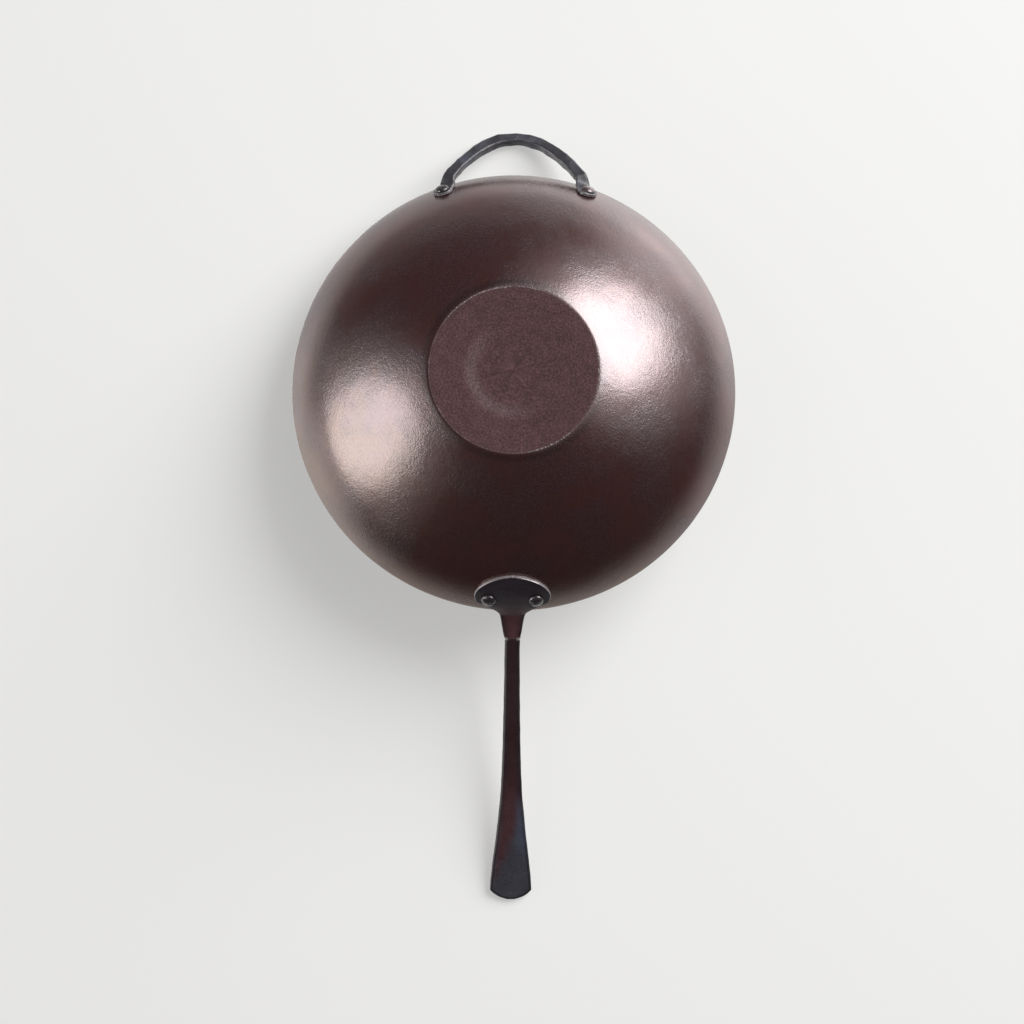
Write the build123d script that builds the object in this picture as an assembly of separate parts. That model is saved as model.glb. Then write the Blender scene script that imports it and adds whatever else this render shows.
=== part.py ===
"""Carbon steel wok: a pressed bowl, a forged long handle, a forged helper handle and four rivets.

Millimetres, +Z up. The origin is the middle of the flat base, on the plane that the wok stands on.
The long handle points along -X and the helper handle along +X.
"""
import os
from math import acos, asin, atan2, cos, degrees, hypot, pi, radians, sin

from build123d import *

# Bowl: driving dimensions
rim_radius = 152.4
bowl_depth = 72.0
sheet = 2.0
base_radius = 56.0
dish_radius = 36.0
dish_depth = 0.5
heel_radius = 8.0
# Slope of the wall where the heel ends, at the knuckle and at the rim, as shares of its mean slope
heel_slope_share = 0.545
knuckle_slope_share = 1.09
rim_slope_share = 1.77

# Fits
seat_clearance = 0.05
hole_clearance = 0.05
overrun = 5.0

# Rivets
rivet_radius = 3.0
head_radius = 5.1
head_height = 2.8
inner_head_radius = 5.4
inner_head_height = 1.6
inner_seat_gap = 0.2

# Shield plate of the long handle
plate_thickness = 3.0
plate_half_width = 26.0
plate_drop = 21.5
plate_rise = 22.0
plate_rivet_depth = 12.0
plate_rivet_spread = 15.9
# Outline of the plate from its lower point to the neck: across as shares of the half width, and
# down as shares of the drop or, past the widest place, up as shares of the rise
flank_shares = (0.66, 0.715)
belly_share = 0.08
shoulder_shares = ((0.92, 0.22), (0.70, 0.34), (0.44, 0.55), (0.31, 0.80))
root_share = 0.28

# Neck and bar of the long handle
neck_bend_radius = 34.0
neck_exit_angle = 27.5
neck_width = 11.4
neck_thickness = 7.4
neck_root_width = 18.2
neck_root_thickness = 2.4
neck_tail = 9.0
neck_bevel = 1.1
handle_overhang = 192.4
handle_rise = 93.0
bar_width = 10.5
bar_thickness = 6.6
bar_bevel = 2.0
tip_width = 29.0
tip_thickness = 3.8
tip_bevel = 0.9
tip_round = 19.0
# Neck stations: place along the bend, and how far width and thickness have gone to the crease
neck_stations_shares = ((0.0, 0.14, 0.34), (0.30, 0.52, 0.62), (0.65, 0.78, 0.86), (1.0, 1.0, 1.0))
# Bar stations: place along the bar, and how far the section has gone from bar to tip
bar_stations_shares = (
    (0.0, 0.0), (0.22, 0.04), (0.41, 0.11), (0.58, 0.24),
    (0.72, 0.49), (0.85, 0.80), (0.95, 1.0), (1.03, 1.07),
)

# Helper handle
arch_overhang = 28.5
arch_rise = 9.5
arch_slope_angle = 27.0
arch_radius = 35.0
arch_turn_angle = 40.0
leg_inset = 4.3
leg_setback = 15.1
helper_width = 8.4
helper_depth = 6.4
helper_bevel = 1.5
tab_width = 12.4
tab_thickness = 2.6
tab_rivet_depth = 13.2
tab_rivet_spread = 49.6
tab_sink = 1.5
# Tab stations: place from the root to the rivet, and how far the width has gone from arch to tab
tab_stations_shares = ((0.0, 0.80), (1.0, 1.0))
tab_root = 7.5

# Wall worked out from the driving dimensions
mean_slope = atan2(bowl_depth, rim_radius - base_radius)
heel_slope = mean_slope * heel_slope_share
knuckle_slope = mean_slope * knuckle_slope_share
rim_slope = mean_slope * rim_slope_share
heel_end = (base_radius + heel_radius * sin(heel_slope), heel_radius * (1 - cos(heel_slope)))

# Distance of each handle's far end from the axis
handle_reach = rim_radius + handle_overhang
arch_reach = rim_radius + arch_overhang


def wall_radii():
    """Radii of the wall's lower and upper arcs that close the run and the rise to the rim."""
    run = rim_radius - heel_end[0]
    rise = bowl_depth - heel_end[1]
    low_run = sin(knuckle_slope) - sin(heel_slope)
    low_rise = cos(heel_slope) - cos(knuckle_slope)
    high_run = sin(rim_slope) - sin(knuckle_slope)
    high_rise = cos(knuckle_slope) - cos(rim_slope)
    det = low_run * high_rise - high_run * low_rise
    return (run * high_rise - high_run * rise) / det, (low_run * rise - run * low_rise) / det


low_radius, high_radius = wall_radii()
low_centre = (heel_end[0] - low_radius * sin(heel_slope), heel_end[1] + low_radius * cos(heel_slope))
high_centre = (rim_radius - high_radius * sin(rim_slope), bowl_depth + high_radius * cos(rim_slope))


def slope_arc(centre, radius, start, end):
    """Arc of the wall's section between two slopes, given in radians."""
    return CenterArc(centre, radius, degrees(start - pi / 2), degrees(end - start))


def on_slope(centre, radius, slope):
    return centre[0] + radius * sin(slope), centre[1] - radius * cos(slope)


def wall_slope(depth):
    """Slope of the wall at a depth below the rim, within its upper arc."""
    return acos((high_centre[1] - bowl_depth + depth) / high_radius)


def wall_point(depth, offset):
    """Distance from the axis and height of the point outside the wall at a depth below the rim."""
    return on_slope(high_centre, high_radius + offset, wall_slope(depth))


def wall_curves(offset, start=heel_slope):
    """The wall's section from a slope on its lower arc up to the rim, moved outwards."""
    low = slope_arc(low_centre, low_radius + offset, start, knuckle_slope)
    high = slope_arc(high_centre, high_radius + offset, knuckle_slope, rim_slope)
    return low + high


def revolved(outline):
    return revolve(Plane.XZ * make_face(outline), Axis.Z)


def dish_arc(height):
    """Arc of the dished middle of the base at a height of the flat ring."""
    radius = (dish_radius ** 2 + dish_depth ** 2) / (2 * dish_depth)
    return RadiusArc((0, height + dish_depth), (dish_radius, height), radius)


def bowl_sheet():
    """The bowl: dished flat base, heel, two tangent wall arcs and a rounded rim."""
    heel_centre = (base_radius, heel_radius)
    outer_rim = on_slope(high_centre, high_radius, rim_slope)
    inner_rim = on_slope(high_centre, high_radius - sheet, rim_slope)
    lip_reach = sheet / 2
    lip = ((outer_rim[0] + inner_rim[0]) / 2 + lip_reach * cos(rim_slope),
           (outer_rim[1] + inner_rim[1]) / 2 + lip_reach * sin(rim_slope))
    outline = dish_arc(0) + Line((dish_radius, 0), (base_radius, 0))
    outline += slope_arc(heel_centre, heel_radius, 0, heel_slope) + wall_curves(0)
    outline += ThreePointArc(outer_rim, lip, inner_rim)
    outline += wall_curves(-sheet) + slope_arc(heel_centre, heel_radius - sheet, 0, heel_slope)
    outline += Line((base_radius, sheet), (dish_radius, sheet)) + dish_arc(sheet)
    outline += Line((0, dish_depth), (0, sheet + dish_depth))
    return revolved(outline)


def wall_keep_out():
    """All that lies inside the wall's outer face and its seat clearance, up to just over the rim."""
    top = bowl_depth + sheet
    rim = on_slope(high_centre, high_radius + seat_clearance, rim_slope)
    start = on_slope(low_centre, low_radius + seat_clearance, heel_slope)
    over = (rim[0] + (top - rim[1]) / sin(rim_slope) * cos(rim_slope), top)
    outline = wall_curves(seat_clearance) + Line(rim, over)
    outline += Polyline(over, (0, top), (0, start[1]), start)
    return revolved(outline)


def wall_band(thickness, rise):
    """Ring of even thickness seated on the wall, carried straight on past the rim."""
    start = (heel_slope + knuckle_slope) / 2
    inner = wall_curves(seat_clearance, start)
    outer = wall_curves(seat_clearance + thickness, start)
    inner_rim = on_slope(high_centre, high_radius + seat_clearance, rim_slope)
    outer_rim = on_slope(high_centre, high_radius + seat_clearance + thickness, rim_slope)
    reach = (rise * cos(rim_slope), rise * sin(rim_slope))
    inner_top = (inner_rim[0] + reach[0], inner_rim[1] + reach[1])
    outer_top = (outer_rim[0] + reach[0], outer_rim[1] + reach[1])
    outline = inner + outer
    outline += Polyline(inner_rim, inner_top, outer_top, outer_rim)
    outline += Line(on_slope(low_centre, low_radius + seat_clearance, start),
                    on_slope(low_centre, low_radius + seat_clearance + thickness, start))
    return revolved(outline)


def wall_plane(depth, angle):
    """Plane touching the wall's outer face at a depth below the rim and an angle about the axis.

    Its normal points out of the wall, and its Y runs down the wall towards the base.
    """
    slope = wall_slope(depth)
    away, height = wall_point(depth, 0)
    around = radians(angle)
    side = Vector(-sin(around), cos(around), 0)
    normal = Vector(sin(slope) * cos(around), sin(slope) * sin(around), -cos(slope))
    origin = Vector(away * cos(around), away * sin(around), height)
    return Plane(origin=origin, x_dir=side * -1, z_dir=normal)


def rivet(seat_plane, grip):
    """Rivet through wall and plate: a domed head on each side, its length from what it grips."""
    inner_seat = -sheet - inner_seat_gap
    outer_seat = seat_clearance + grip
    shank = Line((0, inner_seat - inner_head_height), (0, outer_seat + head_height))
    head = RadiusArc((0, outer_seat + head_height), (head_radius, outer_seat),
                     (head_radius ** 2 + head_height ** 2) / (2 * head_height))
    inner_head = RadiusArc((inner_head_radius, inner_seat), (0, inner_seat - inner_head_height),
                           (inner_head_radius ** 2 + inner_head_height ** 2) / (2 * inner_head_height))
    sides = Polyline((head_radius, outer_seat), (rivet_radius, outer_seat),
                     (rivet_radius, inner_seat), (inner_head_radius, inner_seat))
    turned = revolve(Plane.XZ * make_face(shank + head + sides + inner_head), Axis.Z)
    return seat_plane * turned


def rivet_hole(seat_plane):
    length = 2 * (sheet + plate_thickness + overrun)
    return seat_plane * Cylinder(rivet_radius + hole_clearance, length)


def bar_section(plane, width, thickness, bevel):
    """Rectangle with its corners cut off, in a plane square to the bar."""
    outline = Rectangle(width, thickness)
    return plane * chamfer(outline.vertices(), bevel)


def between(start, end, share):
    return start + (end - start) * share


def plate_rivet_plane(side):
    """Seat of one plate rivet; its angle about the axis comes from the spread of the pair."""
    away = wall_point(plate_rivet_depth, 0)[0]
    return wall_plane(plate_rivet_depth, 180 - side * degrees(atan2(plate_rivet_spread, away)))


def shield_outline():
    """Shield seen square on: Y points down the wall, and the neck leaves at the top."""
    point = (0, plate_drop)
    flank = (plate_half_width * flank_shares[0], plate_drop * flank_shares[1])
    belly = (plate_half_width, plate_drop * belly_share)
    turn = [(plate_half_width * across, -plate_rise * up) for across, up in shoulder_shares]
    root = (plate_half_width * root_share, -plate_rise)
    half = Spline(point, flank, belly, tangents=((1, 0), (0, -1)))
    half += Spline(belly, *turn, root, tangents=((0, -1), (0, -1)))
    return make_face(half + mirror(half, Plane.YZ) + Line((-root[0], root[1]), root))


def shield_plate():
    """The plate that the rivets hold: a piece of the band on the wall, cut to the shield."""
    view = wall_plane(plate_rivet_depth, 180)
    reach = plate_thickness + overrun
    prism = view * extrude(shield_outline(), reach, both=True)
    return wall_band(plate_thickness, plate_rise) & prism


def bend_station(share):
    """Middle of the neck and its heading: it leaves the wall along the wall and bends outwards."""
    half = seat_clearance + plate_thickness / 2
    away, height = on_slope(high_centre, high_radius + half, rim_slope)
    heading = between(rim_slope, radians(neck_exit_angle), share)
    away += neck_bend_radius * (sin(rim_slope) - sin(heading))
    height += neck_bend_radius * (cos(heading) - cos(rim_slope))
    return away, height, heading


def bar_station(share):
    """Middle of the bar and its heading: one long arc from the end of the neck to the tip."""
    away, height, heading = bend_station(1)
    run = handle_reach - away
    rise = bowl_depth + handle_rise - height
    half_turn = atan2(rise, run) - heading
    stretch = half_turn / sin(half_turn) if half_turn else 1
    turned = half_turn * share
    shrink = sin(turned) / turned if turned else 1
    length = hypot(run, rise) * stretch * share * shrink
    return away + length * cos(heading + turned), height + length * sin(heading + turned), heading + 2 * turned


def handle_plane(station, back=0):
    """Plane square to the long handle at a station, with Y on the handle's upper side."""
    away, height, heading = station
    along = Vector(-cos(heading), 0, sin(heading))
    return Plane(origin=Vector(-away, 0, height) - along * back, x_dir=(0, -1, 0), z_dir=along)


def neck():
    """Neck: starts inside the plate, narrows and thickens through the bend up to the crease."""
    sections = [bar_section(handle_plane(bend_station(0), neck_tail),
                            neck_root_width, neck_root_thickness, neck_bevel)]
    for place, narrowed, thickened in neck_stations_shares:
        sections.append(bar_section(handle_plane(bend_station(place)),
                                    between(neck_root_width, neck_width, narrowed),
                                    between(neck_root_thickness, neck_thickness, thickened), neck_bevel))
    return loft(sections)


def bar():
    """Bar: bevelled along its length, flattened and widened towards the tip, and round at its end."""
    sections = []
    for place, share in bar_stations_shares:
        sections.append(bar_section(handle_plane(bar_station(place)),
                                    between(bar_width, tip_width, share),
                                    between(bar_thickness, tip_thickness, share),
                                    between(bar_bevel, tip_bevel, share)))
    away, height, heading = bar_station(1)
    along = Vector(-cos(heading), 0, sin(heading))
    up = Vector(sin(heading), 0, cos(heading))
    centre = Vector(-away, 0, height) - along * tip_round
    end = Plane(origin=centre, x_dir=along, z_dir=up)
    beyond = Pos(tip_width, 0, 0) * Box(2 * tip_width, 2 * tip_width, tip_width)
    return loft(sections) - end * (beyond - Cylinder(tip_round, tip_width))


def long_handle():
    body = shield_plate() + (neck() - wall_keep_out()) + bar()
    for side in (-1, 1):
        body -= rivet_hole(plate_rivet_plane(side))
    return body


def tab_rivet_plane(side):
    away = wall_point(tab_rivet_depth, 0)[0]
    return wall_plane(tab_rivet_depth, side * degrees(asin(tab_rivet_spread / away)))


def arch_plane():
    """Plane of the arch at the top of its curve: X runs across it and Y back towards the bowl."""
    slope = radians(arch_slope_angle)
    top = Vector(arch_reach, 0, bowl_depth + arch_rise)
    return Plane(origin=top, x_dir=(0, 1, 0), z_dir=(-sin(slope), 0, cos(slope)))


def leg_end(side):
    """End of the leg in the arch's plane: a little inside the tab's rivet and short of it."""
    seat = arch_plane().to_local_coords(tab_rivet_plane(side).origin)
    return seat.X - side * leg_inset, seat.Y - leg_setback


def arch_line(side):
    """Half of the arch's middle line: the round top, then the flatter leg."""
    top = JernArc((0, 0), (side, 0), arch_radius, side * arch_turn_angle)
    leg = TangentArc(top @ 1, leg_end(side), tangent=top % 1)
    return arch_plane() * (top + leg)


def square_plane(origin, along, outward):
    """Plane square to a line, its Y axis on the side that the outward direction gives."""
    return Plane(origin=origin, x_dir=outward.cross(along) * -1, z_dir=along)


def arch_half(side):
    line = arch_line(side)
    plane = square_plane(line @ 0, line % 0, arch_plane().z_dir)
    return sweep(bar_section(plane, helper_width, helper_depth, helper_bevel), line)


def tab_direction(side):
    """Direction in which the tab lies on the wall: on from the leg's end to the rivet."""
    seat = tab_rivet_plane(side)
    towards = seat.origin - arch_line(side) @ 1
    return (towards - seat.z_dir * towards.dot(seat.z_dir)).normalized()


def tab_section(side, reach, width):
    """Section of the tab a reach past its rivet; it starts just inside the wall, which trims it."""
    seat = tab_rivet_plane(side)
    along = tab_direction(side)
    depth = tab_thickness + tab_sink
    middle = seat.origin + along * reach + seat.z_dir * (seat_clearance + tab_thickness - depth / 2)
    plane = square_plane(middle, along, seat.z_dir * -1)
    return bar_section(plane, width, depth, helper_bevel)


def tab(side):
    """Leg's end beaten out flat on the wall, and round about its rivet."""
    line = arch_line(side)
    plane = square_plane(line @ 1, line % 1, arch_plane().z_dir)
    sections = [bar_section(plane, helper_width, helper_depth, helper_bevel)]
    for place, share in tab_stations_shares:
        width = between(helper_width, tab_width, share)
        sections.append(tab_section(side, -tab_root * (1 - place), width))
    sections.append(tab_section(side, tab_width, tab_width))
    return loft(sections, ruled=True) - tab_end_cut(side)


def tab_end_cut(side):
    seat = tab_rivet_plane(side)
    plane = Plane(origin=seat.origin, x_dir=tab_direction(side), z_dir=seat.z_dir)
    beyond = Pos(tab_width, 0, 0) * Box(2 * tab_width, 2 * tab_width, 2 * tab_width)
    return plane * (beyond - Cylinder(tab_width / 2, 2 * tab_width))


def helper_handle():
    body = arch_half(1) + arch_half(-1) + tab(1) + tab(-1) - wall_keep_out()
    for side in (-1, 1):
        body -= rivet_hole(tab_rivet_plane(side))
    return body


def bowl():
    body = bowl_sheet()
    for side in (-1, 1):
        body -= rivet_hole(plate_rivet_plane(side)) + rivet_hole(tab_rivet_plane(side))
    return body


nodes = {
    "bowl": bowl(),
    "long_handle": long_handle(),
    "helper_handle": helper_handle(),
    "handle_rivet_left": rivet(plate_rivet_plane(1), plate_thickness),
    "handle_rivet_right": rivet(plate_rivet_plane(-1), plate_thickness),
    "helper_rivet_left": rivet(tab_rivet_plane(1), tab_thickness),
    "helper_rivet_right": rivet(tab_rivet_plane(-1), tab_thickness),
}

os.makedirs("parts", exist_ok=True)
for name, body in nodes.items():
    export_step(body, f"parts/{name}.step")
    print(name, len(body.solids()), "solid(s)", round(body.volume), "mm3")
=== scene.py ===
"""Finished looks for a carbon steel wok: bowl, long handle, helper handle, rivets and their stage.

Metres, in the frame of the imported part: +Z up, origin in the middle of the flat base, long handle
along -X, helper handle along +X. The wok is seen from below, lying upside down on a pale table.
"""
from functools import reduce
from math import acos, asin, atan2, cos, hypot, pi, radians, sin, tan
from operator import add

import bmesh
import bpy
import numpy as np
from mathutils import Matrix, Vector


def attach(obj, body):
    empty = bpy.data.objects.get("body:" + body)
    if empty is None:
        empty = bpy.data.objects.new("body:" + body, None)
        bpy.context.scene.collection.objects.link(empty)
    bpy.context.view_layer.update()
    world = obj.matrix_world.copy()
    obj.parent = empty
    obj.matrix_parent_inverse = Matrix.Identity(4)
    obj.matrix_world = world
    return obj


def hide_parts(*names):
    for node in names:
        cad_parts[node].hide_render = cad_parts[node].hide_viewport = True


bl_info = {
    "name": "Carbon Steel Wok",
    "version": (1, 0, 0),
    "blender": (4, 5, 0),
    "location": "3D View > Sidebar > Wok",
    "description": "Builds the finished pieces of a carbon steel wok around its fixed frame",
    "category": "Add Mesh",
}

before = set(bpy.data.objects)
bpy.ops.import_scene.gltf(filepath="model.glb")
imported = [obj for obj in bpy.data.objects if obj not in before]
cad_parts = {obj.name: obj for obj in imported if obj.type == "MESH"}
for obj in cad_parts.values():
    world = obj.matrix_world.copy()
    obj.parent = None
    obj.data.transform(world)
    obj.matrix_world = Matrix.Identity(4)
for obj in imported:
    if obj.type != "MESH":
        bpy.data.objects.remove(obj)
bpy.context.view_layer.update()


def length(name, description, default):
    """Property for a length in metres."""
    return bpy.props.FloatProperty(name=name, description=description, default=default,
                                   subtype="DISTANCE", unit="LENGTH", precision=5)


def turn(name, description, degrees_default):
    """Property for an angle, its default given in degrees."""
    return bpy.props.FloatProperty(name=name, description=description, default=radians(degrees_default),
                                   subtype="ANGLE", unit="ROTATION")


def number(name, description, default):
    return bpy.props.FloatProperty(name=name, description=description, default=default)


def count(name, description, default):
    return bpy.props.IntProperty(name=name, description=description, default=default, min=1)


def colour(name, description, default):
    return bpy.props.FloatVectorProperty(name=name, description=description, default=default,
                                         subtype="COLOR", size=3, min=0.0, max=1.0)


def grain_sizes(name, description, default):
    """Property for the sizes of the grain, patches, pits and scratches of a steel."""
    return bpy.props.FloatVectorProperty(name=name, description=description, default=default, size=4,
                                         unit="LENGTH", precision=5)


# Sizes and finishes that a user would change

class WokBowlSettings(bpy.types.PropertyGroup):
    """Sizes of the pressed bowl."""
    rim_radius: length("Rim radius", "Radius of the outer face at the rim", 0.1524)
    depth: length("Depth", "Height of the rim over the standing plane", 0.072)
    sheet: length("Sheet", "Thickness of the steel sheet", 0.002)
    base_radius: length("Base radius", "Radius of the flat base up to its heel", 0.056)
    dish_radius: length("Dish radius", "Radius of the dished middle of the base", 0.036)
    dish_depth: length("Dish depth", "Rise of the dished middle of the base", 0.0005)
    heel_radius: length("Heel radius", "Radius of the bend between base and wall", 0.008)
    heel_slope: number("Heel slope", "Slope of the wall at the heel over its mean slope", 0.545)
    knuckle_slope: number("Knuckle slope", "Slope where the wall tightens over its mean slope", 1.09)
    rim_slope: number("Rim slope", "Slope of the wall at the rim over its mean slope", 1.77)
    segments: count("Segments", "Faces round the bowl", 384)
    ring_step: length("Ring step", "Distance between rings of faces along the wall", 0.0019)
    dent_size: length("Dent size", "Width of the planishing marks", 0.0085)
    dent_depth: length("Dent depth", "Depth of the planishing marks", 0.00003)
    wave_size: length("Wave size", "Width of the slow unevenness of the sheet", 0.022)
    wave_depth: length("Wave depth", "Depth of the slow unevenness of the sheet", 0.00022)


class WokLongHandleSettings(bpy.types.PropertyGroup):
    """Sizes of the forged long handle."""
    seat_gap: length("Seat gap", "Clearance between wall and plate", 0.00005)
    plate_thickness: length("Plate thickness", "Thickness of the shield plate", 0.0030)
    plate_half_width: length("Plate half width", "Half width of the shield plate", 0.026)
    plate_drop: length("Plate drop", "From the rivets down to the shield's point", 0.0215)
    belly_drop: length("Belly drop", "From the rivets down to the shield's widest place", 0.0017)
    rivet_depth: length("Rivet depth", "Depth of the plate rivets below the rim", 0.012)
    rivet_spread: length("Rivet spread", "Half the distance between the plate rivets", 0.0159)
    point_power: number("Point power", "Power of the shield's curve: 2 is an ellipse", 1.76)
    bend_radius: length("Bend radius", "Radius of the neck's bend", 0.034)
    exit_angle: turn("Exit angle", "Rise of the bar where the neck ends", 27.5)
    neck_half_width: length("Neck half width", "Half width of the neck where the bend starts", 0.0096)
    neck_end_half_width: length("Neck end half width", "Half width of the neck at the crease", 0.0057)
    neck_end_thickness: length("Neck end thickness", "Thickness of the neck at the crease", 0.0074)
    reach: length("Reach", "Distance of the tip from the bowl's axis", 0.3448)
    rise: length("Rise", "Height of the tip over the rim", 0.093)
    bar_width: length("Bar width", "Width of the bar after the crease", 0.0105)
    bar_thickness: length("Bar thickness", "Thickness of the bar after the crease", 0.0066)
    bar_bevel: length("Bar bevel", "Width of the bar's cut corners", 0.0017)
    tip_width: length("Tip width", "Width of the flared tip", 0.0290)
    tip_thickness: length("Tip thickness", "Thickness of the flared tip", 0.0038)
    tip_bevel: length("Tip bevel", "Width of the tip's cut corners", 0.0009)
    tip_round: length("Tip round", "Radius of the tip's end", 0.019)
    plate_bevel: length("Plate bevel", "Width of the plate's rounded edge", 0.0012)
    crease_length: length("Crease length", "Length of the step from neck to bar", 0.0012)
    station_step: length("Station step", "Distance between sections along the handle", 0.0011)
    dent_size: length("Dent size", "Width of the hammer marks", 0.011)
    dent_depth: length("Dent depth", "Depth of the hammer marks", 0.0003)
    wave_size: length("Wave size", "Width of the slow unevenness", 0.02)
    wave_depth: length("Wave depth", "Depth of the slow unevenness", 0.0003)


class WokHelperSettings(bpy.types.PropertyGroup):
    """Sizes of the forged helper handle."""
    seat_gap: length("Seat gap", "Clearance between wall and tabs", 0.00005)
    overhang: length("Overhang", "How far the arch stands out past the rim", 0.0285)
    rise: length("Rise", "Height of the arch's top over the rim", 0.0095)
    slope: turn("Slope", "Tilt of the arch's plane", 27.0)
    top_radius: length("Top radius", "Radius of the arch's round top", 0.035)
    top_turn: turn("Top turn", "Turn of each half of the round top", 40.0)
    leg_inset: length("Leg inset", "From the rivet inwards to the end of the leg", 0.0043)
    leg_setback: length("Leg setback", "From the rivet back to the end of the leg", 0.0151)
    width: length("Width", "Width of the arch's bar", 0.0084)
    depth: length("Depth", "Depth of the arch's bar", 0.0064)
    bevel: length("Bevel", "Width of the bar's cut corners", 0.0014)
    tab_width: length("Tab width", "Width of the flat tabs", 0.0144)
    tab_thickness: length("Tab thickness", "Thickness of the flat tabs", 0.0026)
    tab_end: length("Tab end", "From the rivet to the flat round end of the tab", 0.0062)
    tab_root: length("Tab root", "From the rivet back to where the tab lies on the wall", 0.0062)
    rivet_depth: length("Rivet depth", "Depth of the tab rivets below the rim", 0.0132)
    rivet_spread: length("Rivet spread", "Half the distance between the tab rivets", 0.0496)
    station_step: length("Station step", "Distance between sections along the arch", 0.0009)
    dent_size: length("Dent size", "Width of the hammer marks", 0.0095)
    dent_depth: length("Dent depth", "Depth of the hammer marks", 0.0010)
    wave_size: length("Wave size", "Width of the slow unevenness", 0.016)
    wave_depth: length("Wave depth", "Depth of the slow unevenness", 0.0004)


class WokRivetSettings(bpy.types.PropertyGroup):
    """Sizes of the rivets."""
    radius: length("Radius", "Radius of the shank", 0.003)
    head_radius: length("Head radius", "Radius of the outer head", 0.0051)
    head_height: length("Head height", "Height of the outer head", 0.0028)
    inner_head_radius: length("Inner head radius", "Radius of the head inside the bowl", 0.0054)
    inner_head_height: length("Inner head height", "Height of the head inside the bowl", 0.0016)
    inner_gap: length("Inner gap", "Clearance under the head inside the bowl", 0.0002)
    segments: count("Segments", "Faces round a rivet", 48)
    dent_size: length("Dent size", "Width of the hammer marks", 0.0034)
    dent_depth: length("Dent depth", "Depth of the hammer marks", 0.00035)
    wave_size: length("Wave size", "Width of the slow unevenness", 0.006)
    wave_depth: length("Wave depth", "Depth of the slow unevenness", 0.0002)


class WokFinishSettings(bpy.types.PropertyGroup):
    """Colours and grain of the seasoned and forged steel."""
    bowl_brown: colour("Bowl brown", "Seasoned steel of the wall", (0.076, 0.0275, 0.023))
    bowl_plum: colour("Bowl plum", "Cooler patches on the wall", (0.062, 0.0250, 0.0275))
    cream_sheen: colour("Cream sheen", "Warm heat tint of the wall's reflections", (1.0, 0.965, 0.885))
    lilac_sheen: colour("Lilac sheen", "Cool heat tint of the wall's reflections", (0.985, 0.972, 0.995))
    base_brown: colour("Base brown", "Matte seasoning on the base", (0.090, 0.0465, 0.0490))
    # Painted highlight: greyer colour of the arc where light catches the dished base
    base_bloom: colour("Base arc highlight", "Greyer arc on one side of the base", (0.136, 0.092, 0.096))
    inside_brown: colour("Inside brown", "Seasoning inside the bowl", (0.058, 0.037, 0.033))
    # Lighter steel for worn edges, also used as the painted highlight along the plate's edge, the crease
    # and the helper's corners and tabs
    worn_steel: colour("Worn and highlight steel", "Steel where edges are rubbed", (0.44, 0.40, 0.405))
    plate_dark: colour("Plate dark", "Blackened steel of the plate", (0.023, 0.0155, 0.022))
    forged_grey: colour("Forged grey", "Blackened steel of the arch and the tip", (0.040, 0.038, 0.044))
    tint_blue: colour("Tint blue", "Blue heat tint", (0.056, 0.062, 0.092))
    tip_slate: colour("Tip slate", "Blue-grey steel of the tip", (0.046, 0.045, 0.056))
    heat_brown: colour("Heat brown", "Brown heat tint along the bar", (0.034, 0.0140, 0.0160))
    rivet_dark: colour("Rivet dark", "Blackened rivet heads", (0.030, 0.026, 0.029))
    rivet_brown: colour("Rivet brown", "Brown bloom on one rivet", (0.085, 0.062, 0.062))
    bowl_marks: grain_sizes("Bowl marks", "Sizes of the bowl's grain", (0.0017, 0.035, 0.011, 0.0011))
    handle_marks: grain_sizes("Handle marks", "Sizes of the handles' grain", (0.0011, 0.016, 0.006, 0.0008))
    rivet_marks: grain_sizes("Rivet marks", "Sizes of the rivets' grain", (0.0008, 0.005, 0.003, 0.0006))
    bowl_relief: length("Bowl relief", "Depth of the bowl's grain", 0.00012)
    forged_relief: length("Forged relief", "Depth of the grain of handles and rivets", 0.00008)


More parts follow.
